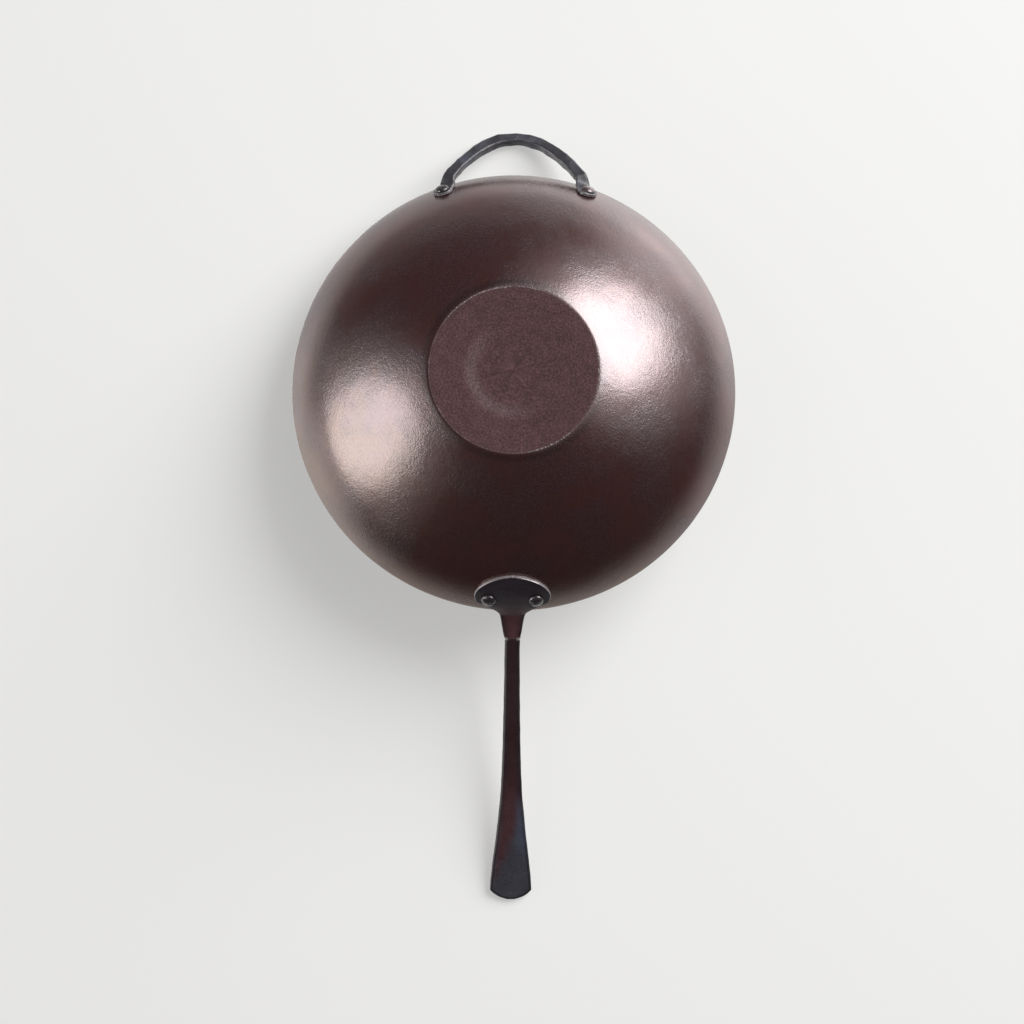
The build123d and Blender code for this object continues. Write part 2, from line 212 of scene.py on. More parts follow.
class WokStageSettings(bpy.types.PropertyGroup):
    """Camera, lamps and floors."""
    camera_distance: length("Camera distance", "From the camera to the rim's plane", 1.984)
    tilt: turn("Tilt", "Tilt of the wok as it rests on the table", 8.75)
    roll: turn("Roll", "Turn of the picture", 0.36)
    shift_right: length("Shift right", "Middle of the rim to the right of the picture's middle", 0.0012)
    shift_up: length("Shift up", "Middle of the rim above the picture's middle", 0.0837)
    lens: number("Lens", "Focal length in millimetres", 101.4)
    floor_colour: colour("Floor colour", "Pale table and floor", (0.46, 0.46, 0.453))
    floor_radius: length("Floor radius", "Radius of the table and the floor", 1.3)
    floor_gap: length("Floor gap", "From the standing plane down to the floor", 0.0003)
    floor_glow: colour("Floor glow", "Part of its brightness that no shadow dims", (0.435, 0.435, 0.429))
    ground_glow: colour("Ground glow", "The same for the floor under the base", (0.12, 0.12, 0.118))
    backdrop: colour("Backdrop", "Pale surroundings as the camera sees them", (0.82, 0.82, 0.805))
    dim_colour: colour("Dim colour", "Dim room on the camera's side", (0.032, 0.030, 0.034))
    pale_colour: colour("Pale colour", "Pale surroundings on the table's side", (0.98, 0.98, 0.96))
    right_glow: number("Right glow", "Gain of the pale surroundings low on the right", 1.2)
    left_glow: number("Left glow", "Gain of the pale surroundings low on the left", 0.9)
    right_band: number("Right band", "Radiance of the small glow low on the right", 1.5)
    left_band: number("Left band", "Radiance of the small glow low on the left", 0.85)
    lamp_distance: length("Lamp distance", "From the rim's middle to the lamps", 4.0)
    window_off: turn("Window off", "Angle from the view's axis to the window lamp", 56.0)
    window_around: turn("Window around", "Place of the window lamp, clockwise from the right", -40.0)
    window_width: turn("Window width", "Angle that the window lamp spans", 44.0)
    window_light: number("Window light", "Radiance of the window lamp", 7.9)
    window_halo: number("Window halo", "Radiance of the soft light round the window lamp", 1.1)
    side_off: turn("Side off", "Angle from the view's axis to the side lamp", 63.0)
    side_around: turn("Side around", "Place of the side lamp, clockwise from the right", 175.0)
    side_width: turn("Side width", "Angle that the side lamp spans", 38.0)
    side_light: number("Side light", "Radiance of the side lamp", 4.8)
    side_halo: number("Side halo", "Radiance of the soft light round the side lamp", 0.5)
    top_width: turn("Top width", "Angle that the lamp over the mouth spans", 36.0)
    top_light: number("Top light", "Radiance of the lamp over the mouth", 2.0)


# Node helpers

class Wire:
    """Output of a node. Reckoning with it makes math nodes in its tree."""

    def __init__(self, socket):
        self.socket = socket
        self.tree = socket.id_data

    def __add__(self, other):
        return math_node("ADD", self, other)

    def __sub__(self, other):
        return math_node("SUBTRACT", self, other)

    def __rsub__(self, other):
        return math_node("SUBTRACT", other, self)

    def __mul__(self, other):
        return math_node("MULTIPLY", self, other)

    def __truediv__(self, other):
        return math_node("DIVIDE", self, other)

    def __rtruediv__(self, other):
        return math_node("DIVIDE", other, self)

    def feed(self, socket):
        self.tree.links.new(self.socket, socket)


def wires(node):
    """A node's outputs by name."""
    return {socket.name: Wire(socket) for socket in node.outputs if socket.name}


def add_node(tree, kind, inputs=(), **options):
    """Add a node, set its options, and feed its inputs with values or other nodes' outputs."""
    made = tree.nodes.new(kind)
    for key, value in options.items():
        setattr(made, key, value)
    for key, value in dict(inputs).items():
        if isinstance(value, Wire):
            value.feed(made.inputs[key])
        else:
            made.inputs[key].default_value = value
    return made


def output(tree, kind, inputs=(), key=0, **options):
    """Output of a new node: the first one, if no other is asked for."""
    return Wire(add_node(tree, kind, inputs, **options).outputs[key])


def math_node(operation, *values):
    tree = next(value.tree for value in values if isinstance(value, Wire))
    return output(tree, "ShaderNodeMath", dict(enumerate(values)), operation=operation)


def vector_math(operation, vector, other):
    return output(vector.tree, "ShaderNodeVectorMath", {0: vector, 1: other}, operation=operation)


def vector_scale(vector, factor):
    inputs = {"Vector": vector, "Scale": factor}
    return output(factor.tree, "ShaderNodeVectorMath", inputs, operation="SCALE")


def dot_product(vector, direction):
    inputs = {0: vector, 1: direction}
    return output(vector.tree, "ShaderNodeVectorMath", inputs, "Value", operation="DOT_PRODUCT")


def ramp(value, low, high, start=0.0, end=1.0):
    """Smooth step of a value from start at low to end at high."""
    inputs = {"Value": value, "From Min": low, "From Max": high, "To Min": start, "To Max": end}
    return output(value.tree, "ShaderNodeMapRange", inputs, "Result", interpolation_type="SMOOTHSTEP")


def noise(vector, scale, detail=2.0, roughness=0.5, **more):
    inputs = {"Vector": vector, "Scale": scale, "Detail": detail, "Roughness": roughness, **more}
    return output(vector.tree, "ShaderNodeTexNoise", inputs, "Fac")


def mix_colour(factor, first, second):
    """Mix of two colours. The node's sockets share names, so they are told apart by their places."""
    return output(factor.tree, "ShaderNodeMix", {0: factor, 6: first, 7: second}, 2, data_type="RGBA")


def rgba(values):
    return (*values, 1.0)


# Geometry node trees

def new_tree(name, sockets):
    """A geometry node tree with named inputs, its group nodes returned with it."""
    tree = bpy.data.node_groups.new(name, "GeometryNodeTree")
    tree.interface.new_socket("Geometry", in_out="INPUT", socket_type="NodeSocketGeometry")
    for label, kind in sockets:
        tree.interface.new_socket(label, in_out="INPUT", socket_type=kind)
    tree.interface.new_socket("Geometry", in_out="OUTPUT", socket_type="NodeSocketGeometry")
    return tree, wires(tree.nodes.new("NodeGroupInput")), tree.nodes.new("NodeGroupOutput").inputs


MARKS = ("Dent Size", "Dent Depth", "Wave Size", "Wave Depth", "Seed")
MARK_SOCKETS = [*((label, "NodeSocketFloat") for label in MARKS), ("Material", "NodeSocketMaterial")]
SEEDS = {"bowl": 3.0, "long_handle": 5.0, "helper_handle": 8.0, "handle_rivet_left": 11.0,
         "handle_rivet_right": 12.0, "helper_rivet_left": 13.0, "helper_rivet_right": 14.0}


def mark_values(group, node, material):
    """Values for the sockets above: a group's marks, a node's seed and its material."""
    return {"Dent Size": group.dent_size, "Dent Depth": group.dent_depth, "Wave Size": group.wave_size,
            "Wave Depth": group.wave_depth, "Seed": SEEDS[node], "Material": material}


def marked_surface(geometry, given):
    """Hammer dents and slow waves pushed along the normals, where the attribute marked allows."""
    tree = geometry.tree
    place = output(tree, "GeometryNodeInputPosition")
    normal = output(tree, "GeometryNodeInputNormal")
    marked = output(tree, "GeometryNodeInputNamedAttribute", {"Name": "marked"}, data_type="FLOAT")
    cells = {"Vector": place, "W": given["Seed"], "Scale": 1.0 / given["Dent Size"], "Randomness": 0.9}
    near = output(tree, "ShaderNodeTexVoronoi", cells, "Distance", voronoi_dimensions="4D", feature="F1")
    dents = (near * near - 0.5) * given["Dent Depth"]
    clouds = {"Vector": place, "W": given["Seed"], "Scale": 1.0 / given["Wave Size"], "Detail": 1.0}
    slow = output(tree, "ShaderNodeTexNoise", clouds, noise_dimensions="4D")
    waves = (slow - 0.5) * given["Wave Depth"]
    moved = {"Geometry": geometry, "Offset": vector_scale(normal, (dents + waves) * marked)}
    return output(tree, "GeometryNodeSetPosition", moved)


def finished_surface(geometry, given, target):
    """Smooth shading, then what an export needs: real meshes and their material."""
    tree = geometry.tree
    smooth = output(tree, "GeometryNodeSetShadeSmooth", {"Geometry": geometry})
    real = output(tree, "GeometryNodeRealizeInstances", {"Geometry": smooth})
    painted = {"Geometry": real, "Material": given["Material"]}
    output(tree, "GeometryNodeSetMaterial", painted).feed(target["Geometry"])


def turned_tree():
    """Turns a section, a line of points in the XZ plane, round the Z axis, and marks its surface."""
    merge_distance = 1e-6
    tree, given, target = new_tree("Turned Metal", [("Segments", "NodeSocketInt"), *MARK_SOCKETS])
    section, segments = given["Geometry"], given["Segments"]

    # Grid with a row for each point of the section and a column for each step round the axis
    rows = output(tree, "GeometryNodeAttributeDomainSize", {"Geometry": section}, "Point Count")
    grid = output(tree, "GeometryNodeMeshGrid", {"Vertices X": segments + 1.0, "Vertices Y": rows})
    index = output(tree, "GeometryNodeInputIndex")
    row = math_node("FLOORED_MODULO", index, rows)
    angle = math_node("FLOOR", (index + 0.5) / rows) / segments * (2 * pi)

    def on_section(value, kind):
        """A value at the section's point of the same row."""
        inputs = {"Geometry": section, "Value": value, "Index": row}
        return output(tree, "GeometryNodeSampleIndex", inputs, data_type=kind)

    # Each point turned to its place, with the section's attributes carried over
    place = on_section(output(tree, "GeometryNodeInputPosition"), "FLOAT_VECTOR")
    parts = wires(add_node(tree, "ShaderNodeSeparateXYZ", {0: place}))
    across, along = (parts["X"] * math_node(wave, angle) for wave in ("COSINE", "SINE"))
    point = output(tree, "ShaderNodeCombineXYZ", {"X": across, "Y": along, "Z": parts["Z"]})
    turned = output(tree, "GeometryNodeSetPosition", {"Geometry": grid, "Position": point})
    for name in ("marked", "inside"):
        carried = output(tree, "GeometryNodeInputNamedAttribute", {"Name": name}, data_type="FLOAT")
        inputs = {"Geometry": turned, "Name": name, "Value": on_section(carried, "FLOAT")}
        turned = output(tree, "GeometryNodeStoreNamedAttribute", inputs, data_type="FLOAT")
    inputs = {"Geometry": turned, "Distance": merge_distance}
    closed = output(tree, "GeometryNodeMergeByDistance", inputs)
    finished_surface(marked_surface(closed, given), given, target)
    return tree


def forged_tree():
    """Rounds a forged mesh once and marks its surface with hammer dents."""
    tree, given, target = new_tree("Forged Metal", MARK_SOCKETS)
    fine = output(tree, "GeometryNodeSubdivisionSurface", {"Mesh": given["Geometry"], "Level": 1})
    finished_surface(marked_surface(fine, given), given, target)
    return tree


def shared_tree(name, build):
    """The tree of a name, built when it is first asked for."""
    return bpy.data.node_groups.get(name) or build()


def evaluated_piece(name, base, tree, values):
    """Run a tree on a base mesh with its inputs set, and give the plain mesh under a piece's name."""
    source = bpy.data.objects.new(name + "_source", base)
    bpy.context.scene.collection.objects.link(source)
    modifier = source.modifiers.new("Shape", "NODES")
    modifier.node_group = tree
    sockets = {s.name: s.identifier for s in tree.interface.items_tree
               if s.item_type == "SOCKET" and s.in_out == "INPUT"}
    for label, value in values.items():
        modifier[sockets[label]] = value
    graph = bpy.context.evaluated_depsgraph_get()
    mesh = bpy.data.meshes.new_from_object(source.evaluated_get(graph), depsgraph=graph)
    source.modifiers.remove(modifier)
    bpy.data.objects.remove(source)
    bpy.data.meshes.remove(base)
    mesh.name = name
    piece = bpy.data.objects.new(name, mesh)
    bpy.context.scene.collection.objects.link(piece)
    return piece


def seat_piece(piece, slot, *nodes):
    """The piece stands for its CAD nodes, which are hidden, and hangs from the root body. The slot it is
    given is not used.
    """
    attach(piece, "root")
    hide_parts(*nodes)


# The wall's section

class Wall:
    """Two tangent arcs from heel to rim, in distances from the axis and heights."""

    def __init__(self, bowl):
        self.rim = (bowl.rim_radius, bowl.depth)
        mean = atan2(bowl.depth, bowl.rim_radius - bowl.base_radius)
        self.heel_slope = mean * bowl.heel_slope
        self.knuckle_slope = mean * bowl.knuckle_slope
        self.rim_slope = mean * bowl.rim_slope
        start = (bowl.base_radius + bowl.heel_radius * sin(self.heel_slope),
                 bowl.heel_radius * (1 - cos(self.heel_slope)))
        low = arc_step(self.heel_slope, self.knuckle_slope)
        high = arc_step(self.knuckle_slope, self.rim_slope)
        run = (self.rim[0] - start[0], self.rim[1] - start[1])
        radii = np.linalg.solve(np.array([low, high]).T, np.array(run))
        self.low_radius, self.high_radius = (float(value) for value in radii)
        self.low_centre = (start[0] - self.low_radius * sin(self.heel_slope),
                           start[1] + self.low_radius * cos(self.heel_slope))
        self.high_centre = (self.rim[0] - self.high_radius * sin(self.rim_slope),
                            self.rim[1] + self.high_radius * cos(self.rim_slope))

    def slope_at(self, depth):
        """Slope of the upper arc at a depth below the rim."""
        return acos((self.high_centre[1] - self.rim[1] + depth) / self.high_radius)

    def seat(self, depth, angle):
        """Matrix of a seat on the outer face: X across, Y down the wall, Z out of it."""
        slope = self.slope_at(depth)
        away, height = on_arc(self.high_centre, self.high_radius, slope)
        outward = Vector((sin(slope) * cos(angle), sin(slope) * sin(angle), -cos(slope)))
        across = Vector((sin(angle), -cos(angle), 0))
        down = outward.cross(across)
        place = Vector((away * cos(angle), away * sin(angle), height))
        turned = Matrix((across, down, outward)).transposed().to_4x4()
        return Matrix.Translation(place) @ turned


def arc_step(first, second):
    """Run and rise of an arc of radius 1 between two slopes."""
    return sin(second) - sin(first), cos(first) - cos(second)


def on_arc(centre, radius, slope):
    return centre[0] + radius * np.sin(slope), centre[1] - radius * np.cos(slope)


def arc_line(centre, radius, start, end, step):
    """Points along an arc between two slopes, about a step apart."""
    steps = max(2, round(abs(radius * (end - start)) / step))
    slopes = np.linspace(start, end, steps + 1)
    return np.column_stack(on_arc(centre, radius, slopes))


def store_values(mesh, values):
    """Store a float attribute for each name, with a value for each point."""
    for name, value in values.items():
        made = mesh.attributes.new(name, "FLOAT", "POINT")
        made.data.foreach_set("value", np.asarray(value, np.float32).ravel())


def section_mesh(name, points, marked, inside):
    """A line of points in the XZ plane with the attributes that the turned tree reads."""
    mesh = bpy.data.meshes.new(name)
    mesh.from_pydata([(x, 0, z) for x, z in points], [(i, i + 1) for i in range(len(points) - 1)], [])
    store_values(mesh, {"marked": marked, "inside": inside})
    return mesh


def bowl_section(bowl, wall):
    """Section of the sheet from the middle of its underside, over the rim, to the middle inside."""
    step = bowl.ring_step

    def face(offset):
        """One face of the sheet from the middle to the rim, at an offset into the bowl."""
        away = np.linspace(0, bowl.dish_radius, round(bowl.dish_radius / step / 2) + 1)
        dish = np.column_stack((away, offset + bowl.dish_depth * (1 - (away / bowl.dish_radius) ** 2)))
        flat_away = np.linspace(bowl.dish_radius, bowl.base_radius,
                                round((bowl.base_radius - bowl.dish_radius) / step) + 1)
        flat = np.column_stack((flat_away, np.full(len(flat_away), offset)))
        heel_slope, knuckle_slope = wall.heel_slope, wall.knuckle_slope
        heel_centre = (bowl.base_radius, bowl.heel_radius)
        heel = arc_line(heel_centre, bowl.heel_radius - offset, 0, heel_slope, step / 2)
        low = arc_line(wall.low_centre, wall.low_radius - offset, heel_slope, knuckle_slope, step)
        high = arc_line(wall.high_centre, wall.high_radius - offset, knuckle_slope, wall.rim_slope, step)
        return np.vstack((dish, flat[1:], heel[1:], low[1:], high[1:]))

    outer, inner = face(0.0), face(bowl.sheet)
    middle = (outer[-1] + inner[-1]) / 2
    turned = np.linspace(wall.rim_slope - pi / 2, wall.rim_slope + pi / 2, 9)[1:-1]
    lip = middle + bowl.sheet / 2 * np.column_stack((np.cos(turned), np.sin(turned)))
    points = np.vstack((outer, lip, inner[::-1]))
    clear = bowl.base_radius
    fade = clear + bowl.heel_radius
    marked = np.interp(points[:, 0], (clear, fade), (0.0, 1.0))
    inside = np.concatenate((np.zeros(len(outer)), np.full(len(lip), 0.5), np.ones(len(inner))))
    return points, marked, inside


# Forged bars and plates: a ring of points at each station, its edges bevelled in plan

def follow(start, heading, pieces, stations):
    """Points and headings at stations along a line of tangent arcs, each a length and a turn."""
    found = []
    for station in stations:
        away, height, pointing, left = start[0], start[1], heading, station
        for piece_length, piece_turn in pieces:
            part = min(left, piece_length)
            turned = piece_turn * part / piece_length
            chord = part * float(np.sinc(turned / 2 / pi))
            away += chord * cos(pointing + turned / 2)
            height += chord * sin(pointing + turned / 2)
            pointing += turned
            left -= part
        found.append((away, height, pointing))
    return np.array(found).T


def smooth_through(knots, values, places):
    """Monotone smooth curve through given knots."""
    knots, values = np.asarray(knots, float), np.asarray(values, float)
    gaps, rises = np.diff(knots), np.diff(values)
    slopes = rises / gaps
    ends = np.zeros(len(knots))
    for i in range(1, len(knots) - 1):
        if slopes[i - 1] * slopes[i] > 0:
            first, second = 2 * gaps[i] + gaps[i - 1], gaps[i] + 2 * gaps[i - 1]
            ends[i] = (first + second) / (first / slopes[i - 1] + second / slopes[i])
    ends[0], ends[-1] = slopes[0], slopes[-1]
    i = np.clip(np.searchsorted(knots, places) - 1, 0, len(gaps) - 1)
    x = np.clip((places - knots[i]) / gaps[i], 0, 1)
    return (values[i] * (1 + 2 * x) * (1 - x) ** 2 + values[i + 1] * x ** 2 * (3 - 2 * x)
            + gaps[i] * (ends[i] * x * (1 - x) ** 2 - ends[i + 1] * x ** 2 * (1 - x)))


# Places of a section's points: on the edge in shares of its bevel, and on the field between the edges
EDGE_SHARES = (0.0, 0.08, 0.22, 0.42, 0.68, 1.0, 1.35)
FIELD_SHARES = (0.0, 0.28, 0.54, 0.78)


def edge_distance(stations, half_width, places, across):
    """Distance in plan from points to the piece's outline."""
    fine = np.linspace(stations[0], stations[-1], 6 * len(stations))
    outline = np.column_stack((fine, np.interp(fine, stations, half_width)))
    found = np.empty(places.shape)
    for i in range(len(places)):
        ahead = outline[None, :, 0] - places[i][:, None]
        beside = outline[None, :, 1] - np.abs(across[i])[:, None]
        found[i] = np.hypot(ahead, beside).min(axis=1)
    return found


def bevel_drop(distance, bevel, power):
    """Fall of a face near its edge: power 1 is a flat cut, 2 a round one."""
    reach = 1 - np.clip(distance / np.maximum(bevel, 1e-7), 0, 1)
    return bevel * (1 - (1 - reach ** power) ** (1 / power))


def forged_mesh(name, stations, half_width, thickness, bevels, power, place):
    """Closed mesh of a forged piece. bevels holds the outer and inner edge widths, and place puts
    station numbers, distances across and heights over the middle sheet in space."""
    outer_bevel, inner_bevel = bevels
    widest = np.maximum(outer_bevel, inner_bevel)
    field = np.maximum(half_width - widest * EDGE_SHARES[-1], half_width * 0.4)
    tight = (half_width - field) / EDGE_SHARES[-1]
    half_row = np.column_stack([field * k for k in FIELD_SHARES] +
                               [half_width - tight * k for k in EDGE_SHARES[::-1]])
    row = np.column_stack((-half_row[:, :0:-1], half_row))
    along = np.repeat(stations[:, None], row.shape[1], axis=1)
    distance = edge_distance(stations, half_width, along, row)
    top = thickness[:, None] / 2 - bevel_drop(distance, outer_bevel[:, None], power[:, None])
    bottom = -thickness[:, None] / 2 + bevel_drop(distance, inner_bevel[:, None], power[:, None])
    side = (top[:, -1:] + bottom[:, -1:]) / 2
    width_ring = np.hstack((row, row[:, -1:], row[:, ::-1], row[:, :1]))
    height_ring = np.hstack((top, side, bottom[:, ::-1], side))
    zero = np.zeros((len(stations), 1))
    edge_ring = np.hstack((distance, zero, distance[:, ::-1], zero))
    number_ring = np.repeat(np.arange(len(stations))[:, None], width_ring.shape[1], axis=1)
    points = place(number_ring, width_ring, height_ring)
    ring = width_ring.shape[1]
    starts = [(i * ring, j, (j + 1) % ring) for i in range(len(stations) - 1) for j in range(ring)]
    faces = [(row_start + j, row_start + k, row_start + ring + k, row_start + ring + j)
             for row_start, j, k in starts]
    mesh = bpy.data.meshes.new(name)
    mesh.from_pydata(points.reshape(-1, 3).tolist(), [], faces)
    values = {"along": np.repeat(stations[:, None], ring, axis=1), "from_edge": edge_ring,
              "marked": np.ones(edge_ring.shape)}
    store_values(mesh, values)
    return closed_mesh(mesh)


# Points nearer than this are one point
MERGE_GAP = 2e-6


def closed_mesh(mesh):
    """Merge the ends' doubled points and turn all faces outwards."""
    work = bmesh.new()
    work.from_mesh(mesh)
    bmesh.ops.remove_doubles(work, verts=work.verts, dist=MERGE_GAP)
    bmesh.ops.recalc_face_normals(work, faces=work.faces)
    work.to_mesh(mesh)
    work.free()
    return mesh


def spaced(marks, steps):
    """Stations between marks, each span with its own step."""
    spans = [np.linspace(a, b, max(2, round((b - a) / step)) + 1)[:-1]
             for a, b, step in zip(marks, marks[1:], steps)]
    return np.concatenate(spans + [marks[-1:]])


# Materials

GRAIN_SIZES = ("Grain Size", "Patch Size", "Pit Size", "Scratch Size")
GRAIN_MASKS = ("Relief", "Patches", "Pits", "Scratches", "Specks")


def steel_grain_group():
    """Fine grain of hot-worked steel: a relief height and masks for mottling, pits and scratches."""
    tree = bpy.data.node_groups.new("Steel Grain", "ShaderNodeTree")
    tree.interface.new_socket("Vector", in_out="INPUT", socket_type="NodeSocketVector")
    for side, labels in (("INPUT", GRAIN_SIZES), ("OUTPUT", GRAIN_MASKS)):
        for label in labels:
            tree.interface.new_socket(label, in_out=side, socket_type="NodeSocketFloat")
    place, grain_size, patch_size, pit_size, scratch_size = wires(tree.nodes.new("NodeGroupInput")).values()
    target = tree.nodes.new("NodeGroupOutput").inputs

    # Swirling grain over broader unevenness
    grain_scale = 1.0 / grain_size
    broad = noise(place, grain_scale * 0.36)
    relief = noise(place, grain_scale, Distortion=1.2) + broad * 0.3
    patches = noise(place, 1.0 / patch_size, 3.0, 0.6)
    specks = ramp(noise(place, grain_scale * 1.4, 1.0), 0.35, 0.70)

    # Pits in a few of many cells
    cells = wires(add_node(tree, "ShaderNodeTexVoronoi", {"Vector": place, "Scale": 1.0 / pit_size}))
    drawn = output(tree, "ShaderNodeSeparateColor", {0: cells["Color"]})
    pits = ramp(cells["Distance"], 0.10, 0.03) * math_node("GREATER_THAN", drawn, 0.955)

    # Scratches in two directions, only in some patches
    streaks = noise(vector_math("MULTIPLY", place, (1.0, 0.07, 0.4)), 1.0 / scratch_size, 1.0, 0.4)
    crossed = noise(vector_math("MULTIPLY", place, (0.09, 1.0, 0.5)), 1.3 / scratch_size, 1.0, 0.4)
    lines = math_node("MAXIMUM", ramp(streaks, 0.72, 0.80), ramp(crossed, 0.74, 0.82))
    scratches = lines * ramp(noise(place, 2.0 / patch_size, 1.0), 0.50, 0.68)
    for label, value in zip(GRAIN_MASKS, (relief, patches, pits, scratches, specks)):
        value.feed(target[label])
    return tree


def new_material(name, **constants):
    """Material with a Principled shader, its constant numbers set on the shader's own sockets."""
    material = bpy.data.materials.new(name)
    material.use_nodes = True
    shader = material.node_tree.nodes["Principled BSDF"].inputs
    for key, value in constants.items():
        shader[key].default_value = value
    return material, shader, output(material.node_tree, "ShaderNodeTexCoord", key="Object")


def grain_node(place, sizes):
    """The grain group's masks, with its four sizes set."""
    inputs = {"Vector": place, **dict(zip(GRAIN_SIZES, sizes))}
    group = shared_tree("Steel Grain", steel_grain_group)
    return wires(add_node(place.tree, "ShaderNodeGroup", inputs, node_tree=group))


def band(value, middle):
    """How far a value is from a middle value."""
    return math_node("ABSOLUTE", value - middle)


def attribute(tree, name):
    return output(tree, "ShaderNodeAttribute", key="Fac", attribute_name=name)


def relief_normal(height, depth):
    """Bump from a height of 0 to 1 that stands for a depth in metres."""
    inputs = {"Height": height, "Strength": 1.0, "Distance": depth}
    return output(height.tree, "ShaderNodeBump", inputs)


def base_colour(finish, place, away):
    """Matte base: mottled and speckled, with painted light: a greyer arc painted as a highlight and a
    lighter zone on the side where light falls.
    """
    mottle_scale, ring_scale, speckle_scale = 110.0, 170.0, 620.0
    arc_radius, arc_reach, arc_core = 0.0285, 0.0065, 0.001
    mottle = ramp(noise(place, mottle_scale, 4.0, 0.65), 0.32, 0.68, 0.80, 1.08)
    radial = output(place.tree, "ShaderNodeCombineXYZ", {"X": away})
    rings = ramp(noise(radial, ring_scale, 3.0, 0.6), 0.3, 0.7, -0.04, 0.04)
    # Painted light: the side where light falls is painted lighter, and the arc of the dished base is
    # painted as a greyer highlight on that side only
    lit_side = ramp(dot_product(place, (-0.5, -0.86, 0.0)), -0.01, 0.03)
    arc = ramp(band(away, arc_radius), arc_reach, arc_core) * lit_side
    speckle = ramp(noise(place, speckle_scale, 2.0, 0.6), 0.3, 0.7, 0.74, 1.26)
    steel = mix_colour(arc * 0.75, rgba(finish.base_brown), rgba(finish.base_bloom))
    return vector_scale(steel, (mottle + rings + lit_side * 0.12) * speckle)


def bowl_colour(finish, bowl, place, grain, zones):
    """Brown and plum wall, matte base with a rubbed line and a painted dark reflection ring round it, plain
    inside.
    """
    away, inside, outside, base = zones
    wobble_depth = 0.0024
    wobble = (grain["Patches"] - 0.5) * wobble_depth
    broken = ramp(grain["Specks"], 0.25, 0.9, 0.05, 0.50)
    broken = broken * ramp(noise(place, 28.0, 1.0), 0.42, 0.60, 0.25, 1.0)
    worn = ramp(band(away + wobble, bowl.base_radius + 0.0006), 0.0008, 0.0001) * outside * broken
    # Painted dark reflection: a ring just outside the base's edge, where the heel reflects the dim room, is
    # darkened in the colour
    painted_dark_ring = ramp(band(away, bowl.base_radius + 0.004), 0.0035, 0.0005) * outside

    patchy = ramp(grain["Patches"], 0.38, 0.62)
    wall = mix_colour(patchy, rgba(finish.bowl_brown), rgba(finish.bowl_plum))
    outer = mix_colour(base, wall, base_colour(finish, place, away))
    whole = mix_colour(ramp(inside, 0.4, 0.6), outer, rgba(finish.inside_brown))
    rubbed = mix_colour(worn, whole, rgba(finish.worn_steel))
    specks = ramp(grain["Specks"], 0.0, 1.0, 0.84, 1.14)
    # The colour is darkened by specks and pits, and by the painted dark reflection ring
    return vector_scale(rubbed, specks * (1.0 - grain["Pits"] * 0.6) * (1.0 - painted_dark_ring * 0.3))


def bowl_material(finish, bowl):
    """Seasoned steel sheet with heat-tinted reflections, a matte base and a plain inside."""
    material, shader, place = new_material("Seasoned Bowl Steel", IOR=2.7)
    grain = grain_node(place, finish.bowl_marks)
    flat = vector_math("MULTIPLY", place, (1.0, 1.0, 0.0))
    away = output(place.tree, "ShaderNodeVectorMath", {0: flat}, "Value", operation="LENGTH")
    inside = attribute(place.tree, "inside")
    outside = math_node("LESS_THAN", inside, 0.25)
    base = ramp(away, bowl.base_radius + 0.0012, bowl.base_radius) * outside
    zones = (away, inside, outside, base)
    bowl_colour(finish, bowl, place, grain, zones).feed(shader["Base Color"])

    # Heat tint of the reflections, warmer towards one side
    warm = dot_product(place, (-4.0, -1.6, 0.0)) + noise(place, 26.0, 3.0, 0.55)
    sheen = mix_colour(ramp(warm, 0.58, 0.92), rgba(finish.lilac_sheen), rgba(finish.cream_sheen))
    sheen.feed(shader["Specular Tint"])

    # Satin wall with faint flecks, matte base
    flecks = ramp(noise(place, 640.0, 2.0, 0.6), 0.50, 0.66, 0.0, 0.04)
    rough = ramp(grain["Patches"], 0.35, 0.65, 0.20, 0.25) + flecks
    (rough + grain["Scratches"] * -0.06 + base * 0.45).feed(shader["Roughness"])
    (math_node("MAXIMUM", base, inside) * 0.45 + 0.5).feed(shader["Metallic"])

    # Grain that comes and goes over the wall, with pits and scratches in it
    height = grain["Relief"] - grain["Pits"] * 0.8 - grain["Scratches"] * 0.15
    height = height * (1.0 - base) * ramp(grain["Patches"], 0.38, 0.62, 0.55, 1.15)
    relief_normal(height, finish.bowl_relief).feed(shader["Normal"])
    return material


def handle_steel(name, finish):
    """What both handles' materials share: shader, grain, distance from the edge and place along."""
    material, shader, place = new_material(name, IOR=1.55, Metallic=0.25)
    edge, along = (attribute(place.tree, name) for name in ("from_edge", "along"))
    return material, shader, place, grain_node(place, finish.handle_marks), edge, along


def finish_handle(shader, grain, edge, steel, rub_and_highlight, finish):
    """Lighten the edges with wear and painted highlight, then speckle the colour and lay the grain,
    smoother at the edges.
    """
    colour_now = mix_colour(rub_and_highlight, steel, rgba(finish.worn_steel))
    dark = ramp(grain["Specks"], 0.0, 1.0, 0.82, 1.18) * (1.0 - grain["Pits"] * 0.5)
    vector_scale(colour_now, dark).feed(shader["Base Color"])
    (ramp(grain["Patches"], 0.3, 0.7, 0.34, 0.48) - rub_and_highlight * 0.15).feed(shader["Roughness"])
    (rub_and_highlight * 0.3 + 0.25).feed(shader["Metallic"])
    height = grain["Relief"] * ramp(edge, 0.0, 0.0030, 0.1, 1.0)
    relief_normal(height, finish.forged_relief).feed(shader["Normal"])


